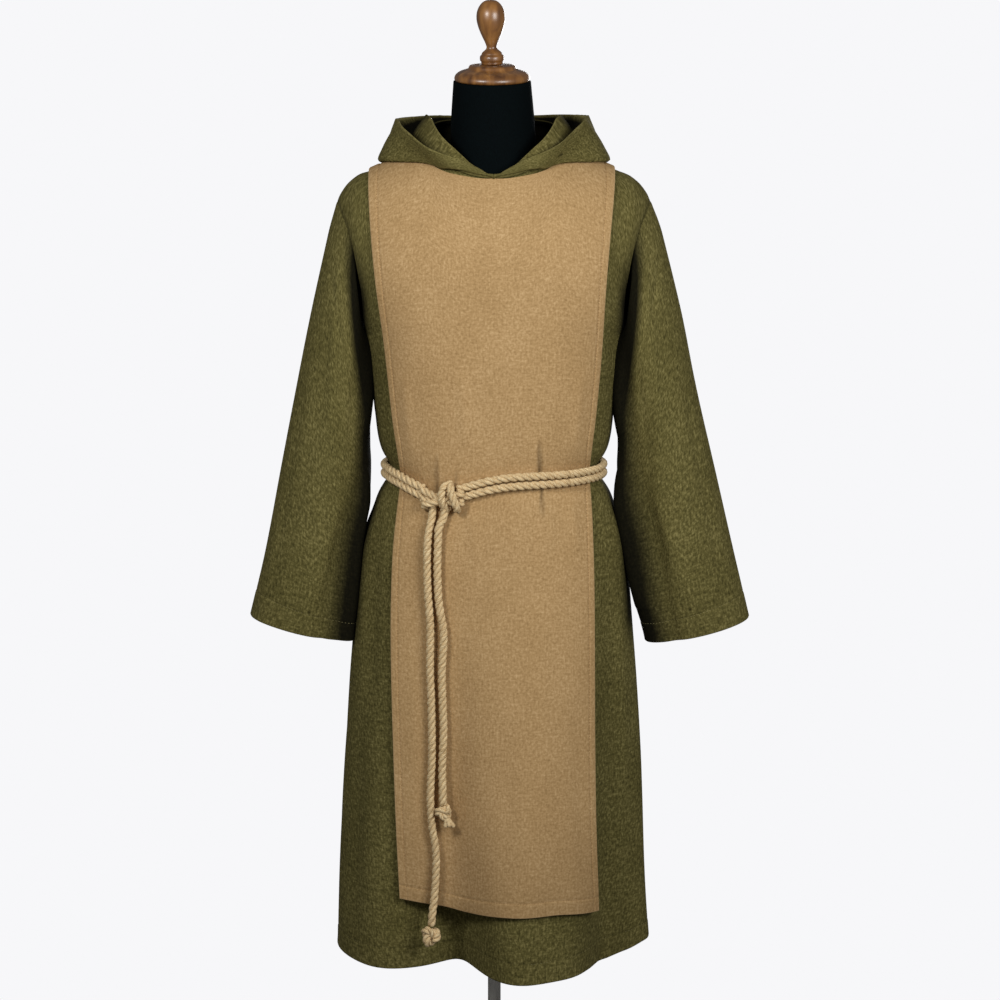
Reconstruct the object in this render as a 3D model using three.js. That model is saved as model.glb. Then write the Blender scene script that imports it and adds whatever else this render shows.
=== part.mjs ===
// A monk's habit on a limbless dress form: tunic, hood, scapular and rope belt.
// Millimetres, +Z up, the front faces -Y, the origin is the centre of the base's underside.
import * as THREE from 'three';

// ---- driving sizes ----
const CLOTH = 2.2; // thickness of the wool
const SEAM_GAP = 0.3; // between two pieces that are sewn together
const HEM_HEIGHT = 210;
const BELT_HEIGHT = 966;
const ARMPIT_HEIGHT = 1172;
const ARCH_HEIGHT = 1240; // the shoulders begin to round over here
const ARCH_POWER = 2.2;
const SEAM_Y = 5; // side and shoulder seams lie a little behind the middle
const NECK_HALF_WIDTH = 77;
const SHOULDER_TIP = 232;
const FULLNESS = 0.06; // how much squarer than an ellipse the body's plan is, between front and side
const ROPE_RADIUS = 6.2;
const KNOT_X = -76;
const POLE_RADIUS = 10;
const BASE_RADIUS = 195;
const BASE_THICKNESS = 8;
const FORM_FLOOR = 800; // the underside of the form
const FORM_TOP = 1541; // the middle of the neck's top
const NECK_TILT = 7.2; // the neck's top leans forward, degrees
const FINIAL_LEAN = 1.6; // and its finial a little to one side

const deg = THREE.MathUtils.degToRad;
const lerp = THREE.MathUtils.lerp;
const clamp = THREE.MathUtils.clamp;
const sin = (turn) => Math.sin(deg(turn));
const cos = (turn) => Math.cos(deg(turn));
const bump = (x, spread) => Math.exp(-((x / spread) ** 2) / 2);
const vec = (x, y, z) => new THREE.Vector3(x, y, z);

// ---- tables: the first column is the place, and a smooth curve runs through the others ----
function steffen(rows, column, place) {
  const n = rows.length;
  const at = clamp(place, rows[0][0], rows[n - 1][0]);
  let i = 0;
  while (i < n - 2 && at > rows[i + 1][0]) i += 1;
  const width = (k) => rows[k + 1][0] - rows[k][0];
  const slope = (k) => (rows[k + 1][column] - rows[k][column]) / width(k);
  const tangent = (k) => {
    if (k === 0) return slope(0);
    if (k === n - 1) return slope(n - 2);
    const [a, b] = [slope(k - 1), slope(k)];
    const mean = (a * width(k) + b * width(k - 1)) / (width(k - 1) + width(k));
    return (Math.sign(a) + Math.sign(b)) * Math.min(Math.abs(a), Math.abs(b), Math.abs(mean) / 2);
  };
  const h = width(i);
  const t = (at - rows[i][0]) / h;
  const [m0, m1] = [tangent(i) * h, tangent(i + 1) * h];
  const [p0, p1] = [rows[i][column], rows[i + 1][column]];
  return p0 + t * (m0 + t * (3 * (p1 - p0) - 2 * m0 - m1 + t * (2 * (p0 - p1) + m0 + m1)));
}

function table(names, rows) {
  const columns = names.split(' ').slice(1);
  return Object.fromEntries(columns.map((name, k) => [name, (place) => steffen(rows, k + 1, place)]));
}

// half the width of the tunic and how far its front and back stand from the seam plane
const BODY = table('height side front back', [
  [210, 246, 150, 152],
  [364, 236.7, 143, 147],
  [525, 228, 137, 141],
  [699, 215, 131, 134],
  [805, 205.5, 127, 130],
  [849, 200.5, 125, 128],
  [881, 192.5, 123, 125],
  [909, 182.5, 120.5, 120],
  [932, 173.5, 117.5, 115],
  [946, 165, 115, 110],
  [957, 158, 113.5, 107],
  [975, 158, 113.5, 107],
  [986, 165, 115, 109.5],
  [1000, 171.5, 117, 113],
  [1053, 180, 120.5, 117],
  [1105, 185, 123.5, 119.5],
  [1140, 188.5, 125.5, 120],
  [1172, 196, 126.5, 120.5],
  [1200, 208, 127.5, 120],
  [1250, 224, 128.5, 119.5],
  [1303, 235, 128.5, 118.5],
  [1368, 250, 128, 118],
  [1480, 262, 128, 118],
]);
// where the scapular's two side edges run on the front and on the back
const SCAPULAR_EDGE = {
  front: table('height left right', [
    [300, 146, 158],
    [432, 149, 153],
    [556, 150.5, 151],
    [709, 151.5, 149],
    [844, 148.5, 146.5],
    [934, 141, 143],
    [966, 137.5, 141],
    [1053, 147.5, 148.5],
    [1156, 158, 157],
    [1258, 170, 162],
    [1358, 178, 169],
    [1424, 183, 177],
  ]),
  back: table('height left right', [
    [300, 150, 150],
    [600, 151, 151],
    [844, 147, 147],
    [966, 140, 140],
    [1156, 157, 156],
    [1258, 168, 163],
    [1358, 177, 171],
    [1424, 183, 177],
  ]),
};
const SHOULDER = table('across height', [
  [0, 1478],
  [40, 1470],
  [60, 1461],
  [77, 1450],
  [100, 1441.5],
  [120, 1434.5],
  [150, 1424.5],
  [183, 1411],
  [205, 1401],
  [220, 1387],
  [232, 1368],
  [240, 1350],
]);
const ARMHOLE = table('height across', [
  [1172, 196],
  [1200, 196.5],
  [1250, 199],
  [1303, 207],
  [1345, 221],
  [1368, SHOULDER_TIP],
]);
// skirt folds: where round the body, how wide, and how far out at the hem on the tunic and on
// the scapular, which bridges the deep ones
const FOLDS = [
  { turn: -33, spread: 8, tunic: -20, scapular: -15 },
  { turn: -16, spread: 9, tunic: -78, scapular: -34 },
  { turn: 8, spread: 9, tunic: 30, scapular: 30 },
  { turn: 27, spread: 8, tunic: 12, scapular: 12 },
  { turn: 56, spread: 13, tunic: -62, scapular: -30 },
  { turn: 122, spread: 12, tunic: -30, scapular: -12 },
  { turn: 150, spread: 10, tunic: 22, scapular: 22 },
  { turn: 178, spread: 10, tunic: -42, scapular: -18 },
  { turn: -150, spread: 10, tunic: 20, scapular: 20 },
  { turn: -124, spread: 12, tunic: -26, scapular: -10 },
];
const FOLD_GROWTH = 1.3;

// ---- the tunic's body as a surface ----
// The belt dips towards the knot, and the tunic's rows dip with it. A level is a height that is
// measured before that dip.
const BELT_DIP = { turn: -29, spread: 17, depth: 24, reach: 57 };
const beltDip = (turn) => -BELT_DIP.depth * bump(turn - BELT_DIP.turn, BELT_DIP.spread);
const heightAt = (turn, level) => level + beltDip(turn) * bump(level - BELT_HEIGHT, BELT_DIP.reach);

function foldDepth(turn, level, cloth) {
  const grown = clamp((BELT_HEIGHT - level) / (BELT_HEIGHT - HEM_HEIGHT), 0, 1) ** FOLD_GROWTH;
  let out = 0;
  for (const fold of FOLDS) {
    const away = THREE.MathUtils.euclideanModulo(turn - fold.turn + 180, 360) - 180;
    out += fold[cloth] * grown * bump(away, fold.spread);
  }
  return out;
}

// a point of the ring at a level, turn 0 at the front middle and 90 at the +X side
function ringPoint(turn, level, cloth = 'tunic') {
  const wide = BODY.side(level);
  const deep = cos(turn) > 0 ? BODY.front(level) : BODY.back(level);
  const fuller = 1 + FULLNESS * sin(2 * turn) ** 2;
  const across = vec(deep * sin(turn), -wide * cos(turn), 0).normalize();
  return vec(wide * sin(turn), SEAM_Y - deep * cos(turn) * fuller, heightAt(turn, level))
    .addScaledVector(across, foldDepth(turn, level, cloth));
}

const faceSign = (face) => (face === 'front' ? -1 : 1);

// 1 where the front and back hang upright, 0 at the shoulder seam
function shoulderArch(x, z) {
  const rise = Math.max(0, (z - ARCH_HEIGHT) / (SHOULDER.height(Math.abs(x)) - ARCH_HEIGHT));
  return Math.sqrt(Math.max(0, 1 - rise ** ARCH_POWER));
}

// how far the front or back stands out above the armpit, at x and z
function upperY(face, x, z) {
  const s = clamp(Math.abs(x) / BODY.side(z), 0, 1);
  const c = Math.sqrt(1 - s * s);
  const fuller = 1 + FULLNESS * (2 * s * c) ** 2;
  return SEAM_Y + faceSign(face) * BODY[face](z) * c * fuller * shoulderArch(x, z);
}

// Columns: q runs from -1 at the -X side seam to 1, and the scapular's edges are at +-Q_EDGE.
const Q_EDGE = 0.6;
const Q_NECK = 0.3;
const INNER_COLUMNS = 12;
const OUTER_COLUMNS = 5;
const FRONT_NECK_DROP = 43;
const BACK_NECK_DROP = 4;
const edgeName = (q) => (q < 0 ? 'left' : 'right');
const shoulderX = (side) => SCAPULAR_EDGE.front[side](1424);

function columnTurn(face, q, level) {
  const a = Math.abs(q);
  const ratio = SCAPULAR_EDGE[face][edgeName(q)](level) / BODY.side(level);
  const edge = THREE.MathUtils.radToDeg(Math.asin(ratio));
  const turn = a < Q_EDGE ? (edge * a) / Q_EDGE : lerp(edge, 90, (a - Q_EDGE) / (1 - Q_EDGE));
  return Math.sign(q) * turn;
}

// where a column ends at the top: the neckline or the shoulder seam
function columnTop(face, q) {
  const a = Math.abs(q);
  const outer = shoulderX(edgeName(q));
  if (a <= Q_NECK) {
    const turn = (90 * a) / Q_NECK;
    const drop = face === 'front' ? FRONT_NECK_DROP : BACK_NECK_DROP;
    return [NECK_HALF_WIDTH * sin(turn), SHOULDER.height(NECK_HALF_WIDTH) - drop * cos(turn)];
  }
  const x = a < Q_EDGE
    ? lerp(NECK_HALF_WIDTH, outer, (a - Q_NECK) / (Q_EDGE - Q_NECK))
    : lerp(outer, SHOULDER_TIP, (a - Q_EDGE) / (1 - Q_EDGE));
  return [x, SHOULDER.height(x)];
}

// v is 0 at the armpit and 1 at the shoulder
function upperPoint(face, q, v) {
  const a = Math.abs(q);
  const side = edgeName(q);
  const [topX, topZ] = columnTop(face, q);
  const outside = clamp((a - Q_EDGE) / (1 - Q_EDGE), 0, 1);
  const fraction = lerp(sin(90 * v), (1 - cos(180 * v)) / 2, outside);
  const z = ARMPIT_HEIGHT + (topZ - ARMPIT_HEIGHT) * fraction;
  const wide = BODY.side(ARMPIT_HEIGHT);
  const edgeTurn = columnTurn(face, Q_EDGE * (Math.sign(q) || 1), ARMPIT_HEIGHT);
  const inner = Math.min(a, Q_EDGE) / Q_EDGE;
  const low = (SCAPULAR_EDGE[face][side](z) * sin(Math.abs(edgeTurn) * inner)) / sin(Math.abs(edgeTurn));
  const top = columnTop(face, Math.min(a, Q_EDGE) * (Math.sign(q) || 1))[0];
  let x = lerp(low, top, v * v);
  if (outside > 0) {
    const armZ = ARMPIT_HEIGHT + ((SHOULDER.height(SHOULDER_TIP) - ARMPIT_HEIGHT) * (1 - cos(180 * v))) / 2;
    const turn = Math.abs(columnTurn(face, q, ARMPIT_HEIGHT));
    const atEdge = Math.abs(sin(edgeTurn));
    const low2 = (sin(turn) - atEdge) / (1 - atEdge);
    x = lerp(x, ARMHOLE.across(armZ), lerp(low2, outside, v));
  }
  const signed = Math.sign(q) * (v === 1 ? topX : x);
  return vec(signed, upperY(face, signed, z), z);
}

// a row is a level under the armpit, or v, a share of the way from there to the shoulder
function bodyPoint(face, q, row, cloth = 'tunic') {
  if (row.v !== undefined) return upperPoint(face, q, row.v);
  const turn = columnTurn(face, q, row.level);
  return ringPoint(face === 'front' ? turn : 180 - turn, row.level, cloth);
}

const LEVELS = [
  HEM_HEIGHT, 300, 400, 500, 600, 700, 780, 840, 885, 918, 938, 949, 957, 975, 983, 994,
  1025, 1075, 1125,
];
const UPPER_ROWS = 10;
const ROWS = [
  ...LEVELS.map((level) => ({ level })),
  ...Array.from({ length: UPPER_ROWS + 1 }, (_, k) => ({ v: k / UPPER_ROWS })),
];
const COLUMNS = [
  ...Array.from({ length: OUTER_COLUMNS }, (_, k) => lerp(-1, -Q_EDGE, k / OUTER_COLUMNS)),
  ...Array.from({ length: INNER_COLUMNS + 1 }, (_, k) => lerp(-Q_EDGE, Q_EDGE, k / INNER_COLUMNS)),
  ...Array.from({ length: OUTER_COLUMNS }, (_, k) => lerp(Q_EDGE, 1, (k + 1) / OUTER_COLUMNS)),
];

const nudged = (row, by) => (row.v === undefined
  ? { level: row.level + by * 100 }
  : { v: clamp(row.v + by, 0, 1) });

// the outward normal of the body, square to the seam plane along the seams
function bodyNormal(face, q, row, cloth) {
  const step = 0.004;
  const atTop = row.v === 1 && Math.abs(q) >= Q_NECK - 1e-9;
  const atSide = Math.abs(q) === 1 && row.v === undefined;
  const [q0, q1] = [Math.max(q - step, -1), Math.min(q + step, 1)];
  const [r0, r1] = [nudged(row, -step), nudged(row, step)];
  const along = bodyPoint(face, q1, row, cloth).sub(bodyPoint(face, q0, row, cloth));
  const up = bodyPoint(face, q, r1, cloth).sub(bodyPoint(face, q, r0, cloth));
  let normal = along.cross(up);
  if (atTop) {
    const tangent = bodyPoint(face, q1, row, cloth).sub(bodyPoint(face, q0, row, cloth));
    normal = vec(-tangent.z, 0, tangent.x);
  } else if (atSide) {
    normal = vec(up.z, 0, -up.x);
  }
  const place = bodyPoint(face, q, row, cloth);
  const middle = vec(0, SEAM_Y, Math.min(place.z, ARCH_HEIGHT));
  if (normal.dot(place.clone().sub(middle)) < 0) normal.negate();
  return normal.normalize();
}

// the direction of an armhole seam's edge, outwards from the armhole's middle
const ARMHOLE_FLARE = 0.4; // towards the side, at the shoulder
function armholeEdge(side, turn) {
  return vec(side * ARMHOLE_FLARE * sin(turn / 2), -sin(turn), -cos(turn)).normalize();
}

// turn 0 at the armpit, 90 at the front, 180 at the shoulder tip, 270 at the back
function armholePoint(side, turn) {
  const face = turn <= 180 ? 'front' : 'back';
  return upperPoint(face, side, (turn <= 180 ? turn : 360 - turn) / 180);
}

// ---- walls ----
// outer and inner are grids of points, [row][column]; a closed wall joins its last column to its first
function wall(outer, inner, closed = false) {
  const rows = outer.length;
  const columns = outer[0].length;
  const position = [...outer.flat(), ...inner.flat()].flatMap((p) => [p.x, p.y, p.z]);
  const index = [];
  const id = (layer, r, c) => layer * rows * columns + r * columns + (c % columns);
  const quad = (a, b, c, d) => index.push(a, b, c, a, c, d);
  const last = closed ? columns : columns - 1;
  for (let r = 0; r < rows - 1; r += 1) {
    for (let c = 0; c < last; c += 1) {
      quad(id(0, r, c), id(0, r, c + 1), id(0, r + 1, c + 1), id(0, r + 1, c));
      quad(id(1, r, c), id(1, r + 1, c), id(1, r + 1, c + 1), id(1, r, c + 1));
    }
  }
  for (let c = 0; c < last; c += 1) {
    quad(id(0, 0, c), id(1, 0, c), id(1, 0, c + 1), id(0, 0, c + 1));
    quad(id(0, rows - 1, c), id(0, rows - 1, c + 1), id(1, rows - 1, c + 1), id(1, rows - 1, c));
  }
  for (let r = 0; r < rows - 1 && !closed; r += 1) {
    quad(id(0, r, 0), id(0, r + 1, 0), id(1, r + 1, 0), id(1, r, 0));
    quad(id(0, r, last), id(1, r, last), id(1, r + 1, last), id(0, r + 1, last));
  }
  const volume = (i) => {
    const p = (k) => vec(...position.slice(3 * index[i + k], 3 * index[i + k] + 3));
    return p(0).dot(p(1).cross(p(2)));
  };
  let total = 0;
  for (let i = 0; i < index.length; i += 3) total += volume(i);
  if (total < 0) index.reverse();
  const geometry = new THREE.BufferGeometry();
  geometry.setAttribute('position', new THREE.Float32BufferAttribute(position, 3));
  geometry.setIndex(index);
  geometry.computeVertexNormals();
  return geometry;
}

// ---- the tunic's front and back ----
function robePanel(face) {
  const outer = [];
  const inner = [];
  for (const row of ROWS) {
    const points = COLUMNS.map((q) => bodyPoint(face, q, row));
    const insides = COLUMNS.map((q, k) => {
      const armhole = row.v !== undefined && Math.abs(q) === 1;
      const turn = armhole ? (face === 'front' ? 180 * row.v : 360 - 180 * row.v) : 0;
      const out = armhole ? armholeEdge(q, turn) : bodyNormal(face, q, row, 'tunic');
      return points[k].clone().addScaledVector(out, -CLOTH);
    });
    const seamColumn = (k) => k === 0 || k === COLUMNS.length - 1;
    const onSeam = (k) => seamColumn(k) || (row.v === 1 && Math.abs(COLUMNS[k]) >= Q_NECK - 1e-9);
    for (const line of [points, insides]) {
      line.forEach((p, k) => {
        if (onSeam(k)) p.y += (faceSign(face) * SEAM_GAP) / 2;
      });
    }
    outer.push(points);
    inner.push(insides);
  }
  return wall(outer, inner);
}

// ---- the scapular: the tunic's own points, moved out ----
const SCAPULAR_ROOM = table('level room', [
  [300, 6.6],
  [700, 5],
  [900, 1.8],
  [945, 0.7],
  [985, 0.7],
  [1075, 1.5],
  [1300, 2],
  [1480, 2.4],
]);
const SCAPULAR_HEM = {
  front: table('across height', [
    [-146, 326],
    [-82, 315],
    [-42, 309],
    [28, 314],
    [84, 314],
    [158, 303],
  ]),
  back: table('across height', [
    [-150, 318],
    [-60, 312],
    [40, 309],
    [150, 316],
  ]),
};
const Q_NECK_CORNER = 0.35; // one more column each side, where the neck opening meets the shoulder
const SCAPULAR_COLUMNS = [...COLUMNS.filter((q) => Math.abs(q) <= Q_EDGE + 1e-9), -Q_NECK_CORNER, Q_NECK_CORNER]
  .sort((a, b) => a - b);
// the neck opening: the share of the way from the armpit to the tunic's neckline or shoulder
const SCAPULAR_NECK = {
  front: table('q share', [[0, 0.907], [0.1, 0.854], [0.2, 0.766], [0.3, 0.71], [0.35, 0.87], [0.4, 1]]),
  back: table('q share', [[0, 0.77], [0.1, 0.77], [0.2, 0.76], [0.3, 0.76], [0.35, 0.89], [0.4, 1]]),
};
const SCAPULAR_NECK_START = 0.7; // rows above this share close up under the neck opening

function scapularRow(face, q, row) {
  if (row.v === undefined || row.v <= SCAPULAR_NECK_START) return row;
  const top = SCAPULAR_NECK[face].share(Math.abs(q));
  return { v: lerp(SCAPULAR_NECK_START, top, (row.v - SCAPULAR_NECK_START) / (1 - SCAPULAR_NECK_START)) };
}

function scapularPanel(face) {
  const outer = [];
  const inner = [];
  const rows = ROWS.filter((row) => row.v !== undefined || row.level >= 400);
  const hemRow = (q) => {
    const x = bodyPoint(face, q, { level: 310 }, 'scapular').x;
    return { level: SCAPULAR_HEM[face].height(x) };
  };
  const lastRow = rows.length - 1;
  for (let r = -1; r <= lastRow; r += 1) {
    const outside = [];
    const inside = [];
    for (const q of SCAPULAR_COLUMNS) {
      const row = r < 0 ? hemRow(q) : scapularRow(face, q, rows[r]);
      const place = bodyPoint(face, q, row, 'scapular');
      const normal = bodyNormal(face, q, row, 'scapular');
      const room = SCAPULAR_ROOM.room(row.level ?? place.z);
      const points = [room + CLOTH, room].map((out) => place.clone().addScaledVector(normal, out));
      if (row.v === 1) points.forEach((p) => { p.y += (faceSign(face) * SEAM_GAP) / 2; });
      outside.push(points[0]);
      inside.push(points[1]);
    }
    outer.push(outside);
    inner.push(inside);
  }
  return wall(outer, inner);
}

// ---- sleeves ----
const SLEEVE_TURNS = 20;
const SLEEVE_STEPS = 11;
const CUFF = {
  '-1': { inner: vec(-219, 0, 704), outer: vec(-372, 0, 741) },
  1: { inner: vec(231, 0, 700), outer: vec(389, 0, 738) },
};
const CUFF_HALF_DEPTH = 62;
const SLEEVE_BELLY = 0.15; // how much deeper a sleeve is halfway down
const CUFF_FREE = 0.12; // the last share of a sleeve, where the underarm line meets the cuff
// where the underarm line hangs, just clear of the side and of the skirt
const UNDERARM = table('height across', [
  [700, 225],
  [727, 219],
  [810, 209.5],
  [849, 204.5],
  [890, 195],
  [917, 188.5],
  [975, 185.5],
  [1000, 186.5],
  [1071, 190.5],
  [1100, 193],
  [1130, 197],
  [1150, 198.5],
  [1172, 196],
]);
// how far the outer line swells between the shoulder and the cuff
const OUTER_LINE = {
  '-1': table('t out', [[0, 0], [0.08, 3.4], [0.22, 4], [0.45, 2.4], [0.62, 0], [0.85, -2.2], [1, 0]]),
  1: table('t out', [[0, 0], [0.08, 5.5], [0.25, 6], [0.42, 3.2], [0.6, 1.2], [0.85, -0.6], [1, 0]]),
};
const SLEEVE_FOLDS = {
  '-1': [
    { turn: 38, spread: 11, depth: -7, from: 0.3, to: 1.3 },
    { turn: 112, spread: 16, depth: -4, from: 0.15, to: 1.1 },
    { turn: 300, spread: 15, depth: -8, from: 0.2, to: 1.3 },
  ],
  1: [
    { turn: 52, spread: 13, depth: -11, from: 0.1, to: 1.2 },
    { turn: 24, spread: 10, depth: 4, from: 0.1, to: 1.1 },
    { turn: 308, spread: 15, depth: -9, from: 0.2, to: 1.3 },
  ],
};

// turn as on the armhole, t from 0 at the armhole to 1 at the cuff
function sleevePoint(side, turn, t) {
  const cuff = CUFF[side];
  const start = armholePoint(side, turn);
  const middle = cuff.inner.clone().lerp(cuff.outer, 0.5);
  const end = middle.clone().add(cuff.outer.clone().sub(middle).multiplyScalar(-cos(turn)));
  end.y = -CUFF_HALF_DEPTH * sin(turn);
  const place = start.clone().lerp(end, t);
  place.y *= 1 + SLEEVE_BELLY * sin(180 * t);
  const inner = armholePoint(side, 0).lerp(cuff.inner, t);
  const hang = t < 1 ? UNDERARM.across(inner.z) - Math.abs(inner.x) : 0;
  const fade = Math.min(1, (1 - t) / CUFF_FREE);
  place.x += side * (hang * fade * cos(turn / 2) ** 4 + OUTER_LINE[side].out(t) * sin(turn / 2) ** 4);
  const centre = armholePoint(side, 0).lerp(armholePoint(side, 180), 0.5).lerp(middle, t);
  const away = place.clone().sub(centre).setZ(0).normalize();
  for (const fold of SLEEVE_FOLDS[side]) {
    const grown = Math.max(0, sin(180 * clamp((t - fold.from) / (fold.to - fold.from), 0, 1)));
    place.addScaledVector(away, fold.depth * grown * bump(turn - fold.turn, fold.spread));
  }
  return place;
}

function sleeveNormal(side, turn, t) {
  const step = 0.02;
  const [t0, t1] = [Math.max(t - step, 0), Math.min(t + step, 1)];
  const around = sleevePoint(side, (turn + 2) % 360, t).sub(sleevePoint(side, (turn + 358) % 360, t));
  const down = sleevePoint(side, turn, t1).sub(sleevePoint(side, turn, t0));
  return down.cross(around).multiplyScalar(side).normalize();
}

function sleeve(side) {
  const outer = [];
  const inner = [];
  for (let k = 0; k <= SLEEVE_STEPS; k += 1) {
    const t = k / SLEEVE_STEPS;
    const outside = [];
    const inside = [];
    for (let n = 0; n < SLEEVE_TURNS; n += 1) {
      const turn = (360 * n) / SLEEVE_TURNS;
      const place = sleevePoint(side, turn, t);
      const out = k === 0 ? armholeEdge(side, turn) : sleeveNormal(side, turn, t);
      if (k === 0) {
        const along = armholePoint(side, (turn + 2) % 360).sub(armholePoint(side, (turn + 358) % 360));
        const apart = along.cross(out).normalize();
        place.addScaledVector(apart, SEAM_GAP * Math.sign(apart.x * side));
      }
      outside.push(place);
      inside.push(place.clone().addScaledVector(out, -CLOTH));
    }
    outer.push(outside);
    inner.push(inside);
  }
  return wall(outer, inner, true);
}

// ---- the hood, laid down round the neck ----
// turn 0 at the front notch, 90 at the side, 180 at the centre-back seam. The cloth leaves the
// neckline, lies on the shoulder or hangs down the back as a bag, comes up to a rim, and at the
// sides folds inwards and up again to the face edge beside the neck.
const HOOD_LIFT = { front: 8.6, back: 12 }; // the middle of the lower layer above the tunic
const HOOD_NEAR = 3.2; // the same beside the neckline, and how far out it takes to rise
const HOOD_NEAR_REACH = 7;
const HOOD_FOOT = 3.4; // the middle of the sewn edge inside the tunic's neckline
// rim, fold and face edge: outwards and up from the neckline
const HOOD = table('turn rimOut rimUp foldOut foldUp edgeOut edgeUp belly tuck', [
  [0, 2, 6, -1, 3, -5, 5, 1, 9],
  [30, 4, 21, 0, 15, -4, 20, 2, 7],
  [45, 22, 20, 13, 12, 5, 31, 2, 6],
  [60, 37, 20, 24, 5, 9, 35, 2, 4.5],
  [75, 52, 29, 37, 1, 13, 38, 2, 3],
  [90, 67, 38, 52, 0, 19, 37, 2, 1.5],
  [100, 75, 40, 57, 0, 26, 21, 7, 1.5],
  [112, 82, 41, 62, 4, 36, 9, 12, 1.5],
  [130, 88, 42, 74, 20, 56, 20, 21, 1.5],
  [150, 91, 43, 84, 31, 77, 35, 26, 1.5],
  [180, 94, 42, 90, 33, 85, 40, 28, 1.5],
]);
// the hood lies unevenly: how far in and up one half's rim is beside the other's
const RIM_SHIFT = { '-1': { inwards: 2, up: 0 }, 1: { inwards: 8, up: 5 } };
// where the lower layer turns up again: from the neckline in front, on the body behind
const HOOD_LAY = table('turn out up', [
  [0, 2.5, 1],
  [30, 9, 5],
  [45, 14, 0],
  [60, 16, -9],
  [75, 36, -15],
  [90, 93, -24],
]);
const HOOD_BAG = table('turn across height', [
  [90, 165, 1418.5],
  [105, 150, 1405],
  [120, 125, 1375],
  [135, 98, 1330],
  [150, 66, 1278],
  [165, 33, 1240],
  [180, 0, 1222],
]);
const HOOD_TURNS = [0, 15, 30, 45, 60, 70, 80, 90, 100, 110, 120, 135, 150, 165, 180];
const HOOD_CURVE = 12; // steps from beside the neckline to the rim
const NECK_RISE = 3; // the sewn edge comes this far over the neckline before it turns out
const BAG_POWER = 1.6; // the bag leaves the neck flat and then drops
const hoodFace = (turn) => (turn <= 90 ? 'front' : 'back');

// the neckline's own corners are NECK_STEP apart, with straight edges between them
const NECK_STEP = 30;
function necklinePoint(side, turn) {
  const corner = (at) => {
    const face = hoodFace(at);
    const [x, z] = columnTop(face, (Q_NECK * (at <= 90 ? at : 180 - at)) / 90);
    return vec(side * x, upperY(face, x, z), z);
  };
  const start = Math.min(NECK_STEP * Math.floor(turn / NECK_STEP), 180 - NECK_STEP);
  return corner(start).lerp(corner(start + NECK_STEP), (turn - start) / NECK_STEP);
}

// 0 on the tunic's shoulders, chest and back, more outside them
function outsideBody({ x, y, z }) {
  const face = y < SEAM_Y ? 'front' : 'back';
  const c = Math.sqrt(1 - (x / BODY.side(z)) ** 2);
  const deep = BODY[face](z) * c;
  const rise = Math.max(0, (z - ARCH_HEIGHT) / (SHOULDER.height(Math.abs(x)) - ARCH_HEIGHT));
  return ((y - SEAM_Y) / deep) ** 2 + rise ** ARCH_POWER - 1;
}

// moves a point straight out until it is this far from the tunic
function restOnBody(point, clear) {
  const step = 0.5;
  for (let k = 0; k < 4; k += 1) {
    const change = (axis) => outsideBody(point.clone().addScaledVector(axis, step))
      - outsideBody(point.clone().addScaledVector(axis, -step));
    const slope = vec(change(vec(1, 0, 0)), change(vec(0, 1, 0)), change(vec(0, 0, 1))).divideScalar(2 * step);
    const distance = outsideBody(point) / slope.length();
    if (distance < clear) point.addScaledVector(slope.normalize(), clear - distance);
  }
  return point;
}

function hoodSection(side, turn) {
  const seam = necklinePoint(side, turn);
  const out = vec(side * sin(turn), -cos(turn), 0);
  const from = (distance, up) => seam.clone().addScaledVector(out, distance).add(vec(0, 0, up));
  const foot = from(-HOOD_FOOT, -HOOD.tuck(turn));
  const neck = from(-HOOD_FOOT, NECK_RISE);
  const below = turn <= 90
    ? from(HOOD_LAY.out(turn), HOOD_LAY.up(turn))
    : vec(side * HOOD_BAG.across(turn), 0, HOOD_BAG.height(turn));
  const lift = HOOD_LIFT[hoodFace(turn)];
  if (turn > 90) below.y = upperY('back', below.x, below.z) + lift;
  const beside = restOnBody(from(NECK_RISE, 0), HOOD_NEAR);
  const over = [0.35, 0.67, 1].map((f) => {
    const point = neck.clone().lerp(below, f);
    if (turn > 90) point.z = lerp(neck.z, below.z, f ** BAG_POWER);
    return restOnBody(point, lift);
  });
  const shifted = sin(turn) ** 2;
  const rim = from(
    HOOD.rimOut(turn) - RIM_SHIFT[side].inwards * shifted,
    HOOD.rimUp(turn) + RIM_SHIFT[side].up * shifted,
  );
  const rising = (f, share) => over[2].clone().lerp(rim, f).addScaledVector(out, HOOD.belly(turn) * share);
  const path = [beside, ...over, rising(0.3, 1), rising(0.68, 0.75), rim];
  const curve = new THREE.CatmullRomCurve3(path, false, 'centripetal').getSpacedPoints(HOOD_CURVE);
  const lower = curve.map((point) => {
    const away = point.clone().sub(beside).length() / HOOD_NEAR_REACH;
    return restOnBody(point, lerp(HOOD_NEAR, lift, Math.min(1, away)));
  });
  const fold = from(HOOD.foldOut(turn), HOOD.foldUp(turn));
  const edge = from(HOOD.edgeOut(turn), HOOD.edgeUp(turn));
  return [foot, neck, ...lower, rim.clone().lerp(fold, 0.5), fold, fold.clone().lerp(edge, 0.5), edge];
}

function hood(side) {
  const middle = HOOD_TURNS.map((turn) => hoodSection(side, turn));
  const last = middle.length - 1;
  const layer = (way) => middle.map((line, n) => line.map((p, k) => {
    const along = line[Math.min(k + 1, line.length - 1)].clone().sub(line[Math.max(k - 1, 0)]);
    const around = middle[Math.min(n + 1, last)][k].clone().sub(middle[Math.max(n - 1, 0)][k]);
    const normal = along.cross(around);
    const seamed = n === 0 || n === last;
    if (seamed) normal.x = 0;
    const point = p.clone().addScaledVector(normal.normalize(), (way * CLOTH) / 2);
    return seamed ? point.setX((side * SEAM_GAP) / 2) : point;
  }));
  return wall(layer(1), layer(-1));
}

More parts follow.
